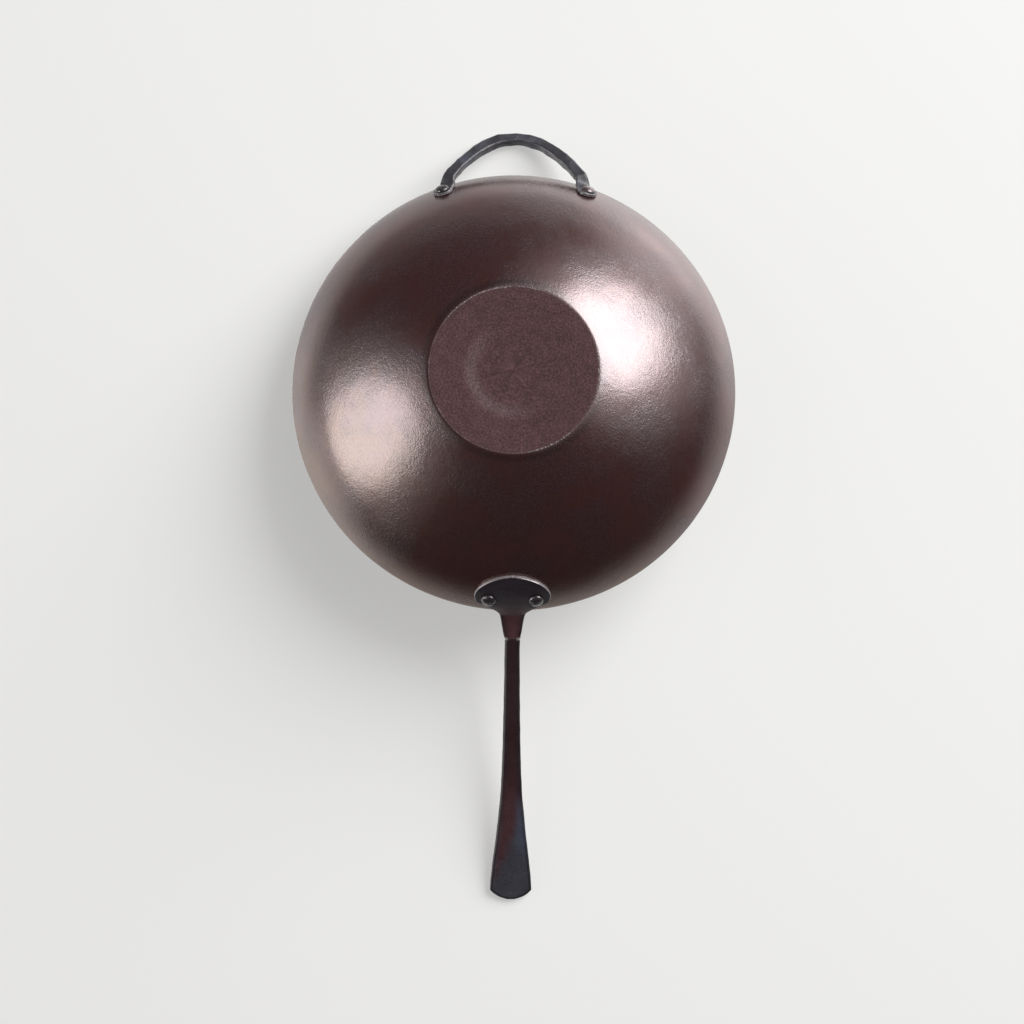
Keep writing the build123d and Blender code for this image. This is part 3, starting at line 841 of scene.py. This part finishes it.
def long_handle_material(finish, marks):
    """Black plate with a rubbed edge and a painted edge highlight, brown bar with painted shade on its
    bevels, rubbed crease with a painted highlight and blue-grey tip.
    """
    material, shader, place, grain, edge, along = handle_steel("Forged Long Handle Steel", finish)
    rim, crease, tip = marks["rim"], marks["crease"], marks["tip"]
    side = wires(add_node(place.tree, "ShaderNodeSeparateXYZ", {0: place}))["Y"]
    to_slate = ramp(along, tip - 0.080, tip - 0.045)
    steel = mix_colour(to_slate, rgba(finish.plate_dark), rgba(finish.tip_slate))

    # Brown heat tint, deeper at the neck and towards the tip, where it ends aslant beside a blue one
    aslant = along + side * 2.2 + grain["Patches"] * 0.02
    brown = ramp(along, rim - 0.022, rim + 0.010) * ramp(edge, 0.0015, 0.0055, 0.45, 1.0)
    brown = brown * ramp(aslant, tip - 0.020, tip - 0.045)
    neck = ramp(along, rim - 0.014, rim + 0.006) * ramp(along, crease + 0.0005, crease - 0.001)
    level = ramp(along, tip - 0.110, tip - 0.055, 1.0, 1.9) + neck * 1.9
    steel = mix_colour(brown, steel, vector_scale(tuple(finish.heat_brown), level))
    blue = ramp(along, tip - 0.085, tip - 0.060) * ramp(along, tip - 0.025, tip - 0.045)
    steel = mix_colour(blue * ramp(side, 0.001, 0.006) * 0.8, steel, rgba(finish.tint_blue))

    # Painted shade on the bar's bevels, then the rubbed edge of the plate and the crease, with painted
    # highlight on them, and the rubbed end of the tip
    plate = ramp(along, rim + 0.002, rim - 0.002)
    # Painted shade: the bar's bevels are darkened in the colour, as faces turned away from the light
    bevel = ramp(edge, 0.0021, 0.0012) * (1.0 - plate)
    steel = vector_scale(steel, 1.0 - bevel * 0.55)
    # Wear and painted highlight: a light line along the plate's rounded edge and light marks at the
    # crease's corners
    edge_line = ramp(edge, 0.0006, 0.0001)
    crease_rub_and_highlight = ramp(band(along, crease), 0.0016, 0.0006) * ramp(edge, 0.0030, 0.0020, 0.06, 1.0)
    tip_rub = edge_line * ramp(along, tip - 0.010, tip - 0.004) * 0.2
    rub_and_highlight = math_node("MAXIMUM", math_node("MAXIMUM", edge_line * plate * 0.9, crease_rub_and_highlight), tip_rub)
    finish_handle(shader, grain, edge, steel, rub_and_highlight * ramp(grain["Patches"], 0.3, 0.7, 0.7, 1.0), finish)
    return material


def helper_material(finish, tab_start):
    """Grey forged arch with a faint blue tint, its corners and the edges of its tabs lightened with wear
    and painted highlight.
    """
    material, shader, _, grain, edge, along = handle_steel("Forged Helper Handle Steel", finish)
    tinted = ramp(grain["Patches"], 0.45, 0.70, 0.0, 0.6)
    steel = mix_colour(tinted, rgba(finish.forged_grey), rgba(finish.tint_blue))
    tab = ramp(math_node("ABSOLUTE", along), tab_start - 0.004, tab_start + 0.001)
    # Wear and painted highlight: a light line along the arch's corners and round the tabs' edges
    corner_wear_and_highlight = ramp(band(edge, 0.0013), 0.0005, 0.0001) * ramp(grain["Patches"], 0.48, 0.62, 0.0, 0.25)
    rim = ramp(edge, 0.0008, 0.0002) * ramp(tab, 0.0, 1.0, 0.06, 0.55)
    rub_and_highlight = math_node("MAXIMUM", corner_wear_and_highlight, rim) * ramp(grain["Specks"], 0.2, 0.9, 0.5, 1.0)
    finish_handle(shader, grain, edge, steel, rub_and_highlight, finish)
    return material


def rivet_material(finish, name, bloom):
    """Blackened rivet steel, with a share of brown bloom on it."""
    material, shader, place = new_material(name, IOR=1.9, Metallic=0.5)
    grain = grain_node(place, finish.rivet_marks)
    bloom_shift = 0.4 * bloom
    spread = ramp(grain["Patches"], 0.62 - bloom_shift, 0.80 - bloom_shift)
    steel = mix_colour(spread, rgba(finish.rivet_dark), rgba(finish.rivet_brown))
    shine = ramp(grain["Specks"], 0.55, 0.95, 0.0, 0.25)
    mix_colour(shine, steel, rgba(finish.worn_steel)).feed(shader["Base Color"])
    ramp(grain["Specks"], 0.0, 1.0, 0.26, 0.16).feed(shader["Roughness"])
    relief_normal(grain["Relief"], finish.forged_relief).feed(shader["Normal"])
    return material


# Pieces

class WOK_OT_bowl(bpy.types.Operator):
    """Build the pressed bowl"""
    bl_idname = "wok.bowl"
    bl_label = "Bowl"

    def execute(self, context):
        bowl = context.scene.wok_bowl
        section = section_mesh("bowl_section", *bowl_section(bowl, Wall(bowl)))
        material = bowl_material(context.scene.wok_finish, bowl)
        values = {"Segments": bowl.segments, **mark_values(bowl, "bowl", material)}
        piece = evaluated_piece("wok_bowl", section, shared_tree("Turned Metal", turned_tree), values)
        seat_piece(piece, "bowl_steel", "bowl")
        return {"FINISHED"}


def long_handle_shape(handle, wall):
    """Stations of the long handle and, at each, its section; places of the marks along it."""
    middle = handle.seat_gap + handle.plate_thickness / 2
    radius = wall.high_radius + middle
    rivet_slope = wall.slope_at(handle.rivet_depth)
    start_slope = rivet_slope - asin(handle.plate_drop / radius)
    start = on_arc(wall.high_centre, radius, start_slope)
    plate = (radius * (wall.rim_slope - start_slope), wall.rim_slope - start_slope)
    bend = (handle.bend_radius * (wall.rim_slope - handle.exit_angle), handle.exit_angle - wall.rim_slope)
    crease = plate[0] + bend[0]
    ended = follow(start, start_slope, (plate, bend), [crease])[:, 0]
    run, rise = handle.reach - ended[0], wall.rim[1] + handle.rise - ended[1]
    half_turn = atan2(rise, run) - handle.exit_angle
    bar = (hypot(run, rise) / float(np.sinc(half_turn / pi)), 2 * half_turn)
    rivets = radius * (rivet_slope - start_slope)
    marks = {"rivets": rivets, "belly": rivets - handle.belly_drop, "rim": plate[0],
             "crease": crease, "tip": crease + bar[0]}
    step = handle.station_step
    tip = marks["tip"]
    edges = np.array([0, 0.0004, handle.plate_bevel * 2, marks["belly"], rivets + 0.013, crease - 0.002,
                      crease + 0.003, tip - handle.tip_round, tip - 0.0012, tip])
    steps = (0.0001, 0.0003, step * 0.8, step * 0.4, step, step * 0.25, step, step * 0.6, 0.0002)
    stations = spaced(edges, steps)
    heads = follow(start, start_slope, (plate, bend, bar), stations)
    return stations, heads, marks, bar[0]


# Places along the bar in shares of its length, with how far it has widened to the tip by there
FLARE = ((0.22, 0.04), (0.41, 0.11), (0.58, 0.24), (0.72, 0.49), (0.85, 0.80), (0.95, 1.0), (1.03, 1.07))


def long_handle_widths(handle, stations, marks, bar_length):
    """Half width along the long handle: shield, neck, bar and flared round tip."""
    belly, rivets, rim, crease, tip = (marks[k] for k in ("belly", "rivets", "rim", "crease", "tip"))
    widest = handle.plate_half_width
    shoulder = ((0.0, 1.0), (0.30, 0.985), (0.55, 0.92), (0.78, 0.70), (1.16, 0.44))
    knots = [belly + place * (rivets + 0.010 - belly) for place, _ in shoulder]
    values = [widest * part for _, part in shoulder]
    neck_start, neck_end = handle.neck_half_width, handle.neck_end_half_width
    for place, part in ((0.0, 0.0), (0.12, 0.24), (0.30, 0.42), (0.55, 0.60), (0.78, 0.80), (0.95, 0.98)):
        knots.append(rim + place * (crease - rim))
        values.append(neck_start + (neck_end - neck_start) * part)
    bar_half, tip_half = handle.bar_width / 2, handle.tip_width / 2
    knots += [crease, crease + handle.crease_length]
    values += [neck_end, bar_half]
    for place, part in FLARE:
        knots.append(crease + place * bar_length)
        values.append(bar_half + (tip_half - bar_half) * part)
    widths = smooth_through(knots, values, stations)
    reach = np.clip((belly - stations) / belly, 0, 1)
    power = handle.point_power
    point = widest * (1 - reach ** power) ** (1 / power)
    end_reach = np.clip(stations - (tip - handle.tip_round), 0, handle.tip_round)
    end = np.sqrt(np.maximum(handle.tip_round ** 2 - end_reach ** 2, 0))
    body = np.where(stations < belly, point, widths)
    return np.where(end_reach > 0, np.minimum(body, end), body)


def long_handle_sections(handle, stations, marks, bar_length):
    """Thickness, outer and inner bevel and roundness of the bevel along the long handle."""
    rim, crease = marks["rim"], marks["crease"]
    bend = crease - rim
    after = crease + handle.crease_length
    bar_places = [crease + place * bar_length for place, _ in FLARE]

    def from_bar(bar_value, tip_value):
        """Values after the crease and along the bar, which reach the tip's and stay there."""
        return [bar_value] + [bar_value + (tip_value - bar_value) * min(part, 1.0) for _, part in FLARE]

    plate, neck_end = handle.plate_thickness, handle.neck_end_thickness
    knots = [0.0, rim, rim + 0.3 * bend, rim + 0.65 * bend, rim + 0.94 * bend, crease, after] + bar_places
    growth = neck_end - plate
    neck = [plate, plate, plate + growth * 0.5, plate + growth * 0.85, neck_end, neck_end]
    thickness = smooth_through(knots, neck + from_bar(handle.bar_thickness, handle.tip_thickness), stations)
    edge = handle.plate_bevel
    bar_bevels = from_bar(handle.bar_bevel, handle.tip_bevel)
    thin, wide = edge * 0.15, edge * 1.5
    outer = smooth_through(knots, [edge, edge, edge * 1.3, wide, wide, wide] + bar_bevels, stations)
    inner = smooth_through(knots, [thin, thin, edge, wide, wide, wide] + bar_bevels, stations)
    power = np.interp(stations, (rim, crease, after), (2.0, 2.0, 1.25))
    return thickness, (outer, inner), power


class WOK_OT_long_handle(bpy.types.Operator):
    """Forge the long handle with its shield plate"""
    bl_idname = "wok.long_handle"
    bl_label = "Long handle"

    def execute(self, context):
        handle = context.scene.wok_long_handle
        wall = Wall(context.scene.wok_bowl)
        stations, (away, height, heading), marks, bar_length = long_handle_shape(handle, wall)
        half_width = long_handle_widths(handle, stations, marks, bar_length)
        thickness, bevels, power = long_handle_sections(handle, stations, marks, bar_length)
        wrapped = np.interp(stations, (marks["rim"], marks["crease"]), (1.0, 0.0))

        def place(station, across, over):
            out = away[station] + over * np.sin(heading[station])
            up = height[station] - over * np.cos(heading[station])
            around = wrapped[station] * across / away[station]
            side = out * np.sin(around) + (1 - wrapped[station]) * across
            return np.stack((-out * np.cos(around), side, up), axis=-1)

        mesh = forged_mesh("long_handle_base", stations, half_width, thickness, bevels, power, place)
        values = mark_values(handle, "long_handle", long_handle_material(context.scene.wok_finish, marks))
        piece = evaluated_piece("wok_long_handle", mesh, shared_tree("Forged Metal", forged_tree), values)
        seat_piece(piece, "handle_steel", "long_handle")
        return {"FINISHED"}


def helper_line(helper, wall):
    """Half of the helper's middle line, from the top of the arch to the tab's end: points and normals."""
    slope = helper.slope
    origin = Vector((wall.rim[0] + helper.overhang, 0, wall.rim[1] + helper.rise))
    across, back = Vector((0, 1, 0)), Vector((-cos(slope), 0, -sin(slope)))
    outward = across.cross(back) * -1
    away = on_arc(wall.high_centre, wall.high_radius, wall.slope_at(helper.rivet_depth))[0]
    seat = wall.seat(helper.rivet_depth, asin(helper.rivet_spread / away))
    rivet = seat.translation
    end = (rivet.y - helper.leg_inset, (rivet - origin).dot(back) - helper.leg_setback)
    top = (helper.top_radius * helper.top_turn, helper.top_turn)
    joint = follow((0, 0), 0, (top,), [top[0]])[:, 0]
    run, rise = end[0] - joint[0], end[1] - joint[1]
    half_turn = atan2(rise, run) - helper.top_turn
    leg = (hypot(run, rise) / float(np.sinc(half_turn / pi)), 2 * half_turn)
    arch = top[0] + leg[0]
    flat = follow((0, 0), 0, (top, leg), np.linspace(0, arch, 60))
    points = [origin + across * x + back * y for x, y in zip(flat[0], flat[1])]
    normals = [outward] * len(points)
    seat_out = seat.to_3x3().col[2]
    towards = rivet - points[-1]
    tab = (towards - seat_out * towards.dot(seat_out)).normalized()
    over = helper.seat_gap + helper.tab_thickness / 2
    root = rivet + seat_out * over - tab * helper.tab_root
    leg_end = points[-1]
    leaving = (leg_end - points[-2]).normalized()
    gap = (root - leg_end).length
    parts = np.linspace(0, 1, 16)[1:]
    for part in parts:
        a, b = (1 + 2 * part) * (1 - part) ** 2, part ** 2 * (3 - 2 * part)
        c, d = part * (1 - part) ** 2, -part ** 2 * (1 - part)
        points.append(leg_end * a + root * b + leaving * gap * c + tab * gap * d)
        normals.append(outward.lerp(seat_out, part * part * (3 - 2 * part)).normalized())
    for part in parts:
        points.append(root + tab * (helper.tab_root + helper.tab_end) * part)
        normals.append(seat_out)
    return np.array(points), np.array(normals), arch, gap


def helper_frames(helper, points, normals, arch):
    """Stations along the helper, and at each the middle line's point, outward way and sideways way."""
    placed = np.concatenate(([0], np.cumsum(np.linalg.norm(np.diff(points, axis=0), axis=1))))
    end, step = placed[-1], helper.station_step
    last, finest = 0.0008, 0.0002
    marks = np.array([0, arch, end - helper.tab_end, end - last, end])
    half = spaced(marks, (step, step * 0.7, step * 0.5, finest))
    stations = np.concatenate((-half[:0:-1], half))
    distance = np.abs(stations)
    centre, out = (np.column_stack([np.interp(distance, placed, line[:, k]) for k in range(3)])
                   for line in (points, normals))
    flip = np.where(stations < 0, -1.0, 1.0)
    centre[:, 1] *= flip
    out[:, 1] *= flip
    out /= np.linalg.norm(out, axis=1)[:, None]
    heading = np.gradient(centre, stations, axis=0)
    heading -= out * np.sum(heading * out, axis=1)[:, None]
    heading /= np.linalg.norm(heading, axis=1)[:, None]
    return stations, centre, out, np.cross(out, heading)


def helper_sections(helper, stations, arch, root):
    """Half width, thickness, outer and inner bevel along the helper, from bar to flat round tab."""
    distance = np.abs(stations)
    end = distance[-1]
    knots = (0, arch * 0.75, arch, root, end - helper.tab_end, end)
    bar, tab = helper.width / 2, helper.tab_width / 2
    half_width = smooth_through(knots, (bar, bar, bar * 1.04, tab * 0.80, tab, tab), distance)
    end_reach = np.clip((distance - end) / helper.tab_end + 1, 0, 1)
    half_width = np.minimum(half_width, tab * np.sqrt(1 - end_reach ** 2))
    deep, flat = helper.depth, helper.tab_thickness
    thickness = smooth_through(knots, (deep, deep, deep * 0.96, flat, flat, flat), distance)
    edge = helper.bevel
    outer = smooth_through(knots, (edge, edge, edge, edge * 0.7, edge * 0.6, edge * 0.6), distance)
    inner = smooth_through(knots, (edge, edge, edge, edge * 0.4, edge * 0.2, edge * 0.2), distance)
    return half_width, thickness, (outer, inner)


class WOK_OT_helper_handle(bpy.types.Operator):
    """Forge the arched helper handle"""
    bl_idname = "wok.helper_handle"
    bl_label = "Helper handle"

    def execute(self, context):
        helper = context.scene.wok_helper
        points, normals, arch, gap = helper_line(helper, Wall(context.scene.wok_bowl))
        stations, centre, out, side = helper_frames(helper, points, normals, arch)
        root = arch + gap
        half_width, thickness, bevels = helper_sections(helper, stations, arch, root)
        power = np.full(len(stations), 1.5)

        def place(station, across, over):
            return centre[station] + side[station] * across[..., None] + out[station] * over[..., None]

        mesh = forged_mesh("helper_base", stations, half_width, thickness, bevels, power, place)
        values = mark_values(helper, "helper_handle", helper_material(context.scene.wok_finish, root))
        piece = evaluated_piece("wok_helper_handle", mesh, shared_tree("Forged Metal", forged_tree), values)
        seat_piece(piece, "handle_steel", "helper_handle")
        return {"FINISHED"}


def rivet_section(rivet, grip, sheet):
    """Section of a rivet about its axis: inner head, shank and outer head, Z out of the wall."""
    inner_seat, outer_seat = -sheet - rivet.inner_gap, grip

    def dome(radius, height, steps):
        """Domed cap, steep at its rim, from its rim to its pole."""
        angles = np.linspace(pi / 2, 0, steps)
        return np.column_stack((radius * np.sin(angles), height * np.cos(angles)))

    outer = dome(rivet.head_radius, rivet.head_height, 14) + (0, outer_seat)
    inner = dome(rivet.inner_head_radius, rivet.inner_head_height, 8) * (1, -1) + (0, inner_seat)
    shank = [(rivet.radius, inner_seat), (rivet.radius, outer_seat)]
    points = np.vstack((inner[::-1], shank, outer))
    marked = np.concatenate((np.full(len(inner), 0.5), (0, 0), np.ones(len(outer))))
    marked[len(inner) + 2] = 0.4
    return points, marked, np.zeros(len(points))


class WOK_OT_rivets(bpy.types.Operator):
    """Set the four rivets that hold the handles"""
    bl_idname = "wok.rivets"
    bl_label = "Rivets"

    def execute(self, context):
        rivet = context.scene.wok_rivet
        finish = context.scene.wok_finish
        handle, helper = context.scene.wok_long_handle, context.scene.wok_helper
        wall = Wall(context.scene.wok_bowl)
        plate_away = on_arc(wall.high_centre, wall.high_radius, wall.slope_at(handle.rivet_depth))[0]
        tab_away = on_arc(wall.high_centre, wall.high_radius, wall.slope_at(helper.rivet_depth))[0]
        plate_turn = atan2(handle.rivet_spread, plate_away)
        tab_turn = asin(helper.rivet_spread / tab_away)
        plate_grip = handle.seat_gap + handle.plate_thickness
        tab_grip = helper.seat_gap + helper.tab_thickness
        dark = rivet_material(finish, "Rivet Steel", 0.0)
        brown = rivet_material(finish, "Bloomed Rivet Steel", 1.0)
        seats = (("handle_rivet_left", handle.rivet_depth, pi - plate_turn, plate_grip, dark),
                 ("handle_rivet_right", handle.rivet_depth, pi + plate_turn, plate_grip, dark),
                 ("helper_rivet_left", helper.rivet_depth, tab_turn, tab_grip, brown),
                 ("helper_rivet_right", helper.rivet_depth, -tab_turn, tab_grip, dark))
        tree = shared_tree("Turned Metal", turned_tree)
        sheet = context.scene.wok_bowl.sheet
        for name, depth, angle, grip, material in seats:
            section = section_mesh(name + "_section", *rivet_section(rivet, grip, sheet))
            values = {"Segments": rivet.segments, **mark_values(rivet, name, material)}
            piece = evaluated_piece("wok_" + name, section, tree, values)
            piece.data.transform(wall.seat(depth, angle))
            seat_piece(piece, "rivet_steel", name)
        return {"FINISHED"}


# Stage

def picture_axes(stage):
    """Right, up and back of the picture in the part's frame."""
    tilt, roll = stage.tilt, stage.roll
    right = Vector((0, 1, 0))
    up = Vector((cos(tilt), 0, -sin(tilt)))
    back = Vector((-sin(tilt), 0, -cos(tilt)))
    return right * cos(roll) + up * sin(roll), up * cos(roll) - right * sin(roll), back


def facing(right, up, back, place):
    return Matrix.Translation(place) @ Matrix((right, up, back)).transposed().to_4x4()


def floor_material(name, stage, shine):
    """Pale matte floor that is seen from its own side only, so each view keeps just one floor."""
    material = bpy.data.materials.new(name)
    material.use_nodes = True
    tree = material.node_tree
    tree.nodes.clear()
    matte = output(tree, "ShaderNodeBsdfDiffuse", {"Color": rgba(stage.floor_colour)})
    seen = output(tree, "ShaderNodeLightPath", key="Is Camera Ray")
    glowing = output(tree, "ShaderNodeEmission", {"Color": rgba(shine), "Strength": seen})
    lit = output(tree, "ShaderNodeAddShader", {0: matte, 1: glowing})
    clear = output(tree, "ShaderNodeBsdfTransparent")
    behind = output(tree, "ShaderNodeNewGeometry", key="Backfacing")
    mixed = output(tree, "ShaderNodeMixShader", {0: behind, 1: lit, 2: clear})
    add_node(tree, "ShaderNodeOutputMaterial", {"Surface": mixed})
    return material


def add_floor(name, matrix, radius, material):
    """Round floor in the XY plane of a matrix, its face towards that plane's +Z."""
    steps = 96
    mesh = bpy.data.meshes.new(name)
    ring = [(radius * cos(2 * pi * i / steps), radius * sin(2 * pi * i / steps), 0) for i in range(steps)]
    mesh.from_pydata(ring, [], [range(steps)])
    mesh.transform(matrix)
    mesh.materials.append(material)
    floor = bpy.data.objects.new(name, mesh)
    bpy.context.scene.collection.objects.link(floor)
    for kind in ("diffuse", "glossy", "transmission", "shadow"):
        setattr(floor, "visible_" + kind, False)
    return floor


def add_lamp(name, place, target, span, radiance):
    """Disc lamp turned to its target, of which it spans an angle, with a brightness like a screen's."""
    lamp = bpy.data.lights.new(name, "AREA")
    lamp.shape = "DISK"
    lamp.size = 2 * (place - target).length * tan(span / 2)
    lamp.energy = radiance * pi * pi * (lamp.size / 2) ** 2
    made = bpy.data.objects.new(name, lamp)
    bpy.context.scene.collection.objects.link(made)
    turned = (target - place).to_track_quat("-Z", "Y").to_matrix().to_4x4()
    made.matrix_world = Matrix.Translation(place) @ turned
    made.visible_camera = False
    return made


def leave_out(lamp, objects):
    """Let a lamp light everything but some objects."""
    unlit = bpy.data.collections.new(lamp.name + " leaves out")
    for thing in objects:
        unlit.objects.link(thing)
    lamp.light_linking.receiver_collection = unlit
    for link in unlit.collection_objects:
        link.light_linking.link_state = "EXCLUDE"


def glow(way, middle, strength, edge, core):
    """Soft round glow about a direction of the world, its edge and core in degrees from there."""
    return ramp(dot_product(way, middle), cos(radians(edge)), cos(radians(core)), 0.0, strength)


def lit_world(stage, back, toward):
    """Dim room on the camera's side, pale surroundings on the table's side, and pale to the camera."""
    world = bpy.data.worlds.new("Studio")
    bpy.context.scene.world = world
    world.use_nodes = True
    tree = world.node_tree
    tree.nodes.clear()
    way = output(tree, "ShaderNodeTexCoord", key="Generated")
    dimmed = ramp(dot_product(way, back), -0.55, 0.10)
    room = mix_colour(dimmed, rgba(stage.pale_colour), rgba(stage.dim_colour))

    # Each glow: its middle, its strength, and its edge and core
    gains = ((toward(radians(112), radians(-48)), stage.right_glow, 50.0, 14.0),
             (toward(radians(98), radians(172)), stage.left_glow, 50.0, 14.0))
    lights = ((toward(stage.window_off, stage.window_around), stage.window_halo, 46.0, 18.0),
              (toward(stage.side_off, stage.side_around), stage.side_halo, 42.0, 16.0),
              (toward(radians(104), radians(-49)), stage.right_band, 23.0, 5.0),
              (toward(radians(95), radians(164)), stage.left_band, 22.0, 5.0))
    gain = reduce(add, (glow(way, *each) for each in gains)) + 1.0
    soft = reduce(add, (glow(way, *each) for each in lights))
    soft_tint = (1.0, 0.98, 0.98)
    room = vector_math("ADD", vector_scale(room, gain), vector_scale(soft_tint, soft))
    seen = output(tree, "ShaderNodeLightPath", key="Is Camera Ray")
    shown = mix_colour(seen, room, rgba(stage.backdrop))
    background = output(tree, "ShaderNodeBackground", {"Color": shown, "Strength": 1.0})
    add_node(tree, "ShaderNodeOutputWorld", {"Surface": background})


class WOK_OT_stage(bpy.types.Operator):
    """Set the camera, the lamps and the two pale floors"""
    bl_idname = "wok.stage"
    bl_label = "Stage"

    def execute(self, context):
        scene = context.scene
        stage, helper = scene.wok_stage, scene.wok_helper
        bowl, handle = scene.wok_bowl, scene.wok_long_handle
        scene.view_settings.view_transform = "Standard"
        right, up, back = picture_axes(stage)
        rim = Vector((0, 0, bowl.depth))
        camera_data = bpy.data.cameras.new("Camera")
        camera_data.lens = stage.lens
        camera_data.clip_start, camera_data.clip_end = 0.05, 30.0
        camera = bpy.data.objects.new("Camera", camera_data)
        scene.collection.objects.link(camera)
        place = rim + back * stage.camera_distance - right * stage.shift_right - up * stage.shift_up
        camera.matrix_world = facing(right, up, back, place)
        scene.camera = camera
        pale = floor_material("Pale Table", stage, stage.floor_glow)
        plain = floor_material("Pale Ground", stage, stage.ground_glow)
        level_up = Vector((cos(stage.tilt), 0, -sin(stage.tilt)))
        lean = 1.45  # how far the arch's leaning section reaches up, over half its depth
        reach = helper.depth / 2 * lean
        top = Vector((bowl.rim_radius + helper.overhang, 0, bowl.depth + helper.rise + reach))
        tip = Vector((-handle.reach, 0, bowl.depth + handle.rise + handle.tip_thickness / 2))
        contact = max((top, tip), key=lambda point: -point.dot(back))
        middle = contact + level_up * (rim - contact).dot(level_up)
        table = facing(Vector((0, 1, 0)), level_up, back, middle)
        ground = Matrix.Translation((0, 0, -stage.floor_gap))
        floors = [add_floor("photo_table", table, stage.floor_radius, pale),
                  add_floor("standing_floor", ground, stage.floor_radius, plain)]

        def toward(off_axis, around):
            """Direction seen in the picture: angle off the view axis, and clockwise from its right."""
            return back * cos(off_axis) + (right * cos(around) - up * sin(around)) * sin(off_axis)

        lit_world(stage, back, toward)
        away = stage.lamp_distance
        window_place = rim + toward(stage.window_off, stage.window_around) * away
        side_place = rim + toward(stage.side_off, stage.side_around) * away
        add_lamp("window", window_place, rim, stage.window_width, stage.window_light)
        side = add_lamp("side", side_place, rim, stage.side_width, stage.side_light)
        leave_out(side, floors)
        top_place = rim + Vector((0.2, -0.2, 1)).normalized() * away
        add_lamp("top", top_place, rim, stage.top_width, stage.top_light)
        return {"FINISHED"}


class WOK_PT_sidebar(bpy.types.Panel):
    """Lists the wok's pieces and its stage"""
    bl_idname = "WOK_PT_sidebar"
    bl_label = "Carbon Steel Wok"
    bl_space_type = "VIEW_3D"
    bl_region_type = "UI"
    bl_category = "Wok"

    def draw(self, context):
        for operator in operators:
            self.layout.operator(operator.bl_idname)
        for name in settings:
            box = self.layout.box()
            group = getattr(context.scene, name)
            for key in group.__annotations__:
                box.prop(group, key)


settings = {"wok_bowl": WokBowlSettings, "wok_long_handle": WokLongHandleSettings,
            "wok_helper": WokHelperSettings, "wok_rivet": WokRivetSettings,
            "wok_finish": WokFinishSettings, "wok_stage": WokStageSettings}
operators = (WOK_OT_bowl, WOK_OT_long_handle, WOK_OT_helper_handle, WOK_OT_rivets, WOK_OT_stage)


def register():
    for made in (*settings.values(), *operators, WOK_PT_sidebar):
        bpy.utils.register_class(made)
    for name, group in settings.items():
        setattr(bpy.types.Scene, name, bpy.props.PointerProperty(type=group))


def unregister():
    for name in settings:
        delattr(bpy.types.Scene, name)
    for made in (WOK_PT_sidebar, *reversed(operators), *reversed(settings.values())):
        bpy.utils.unregister_class(made)


def main():
    register()
    for operator in operators:
        group, action = operator.bl_idname.split(".")
        getattr(getattr(bpy.ops, group), action)()


if __name__ == "__main__":
    main()
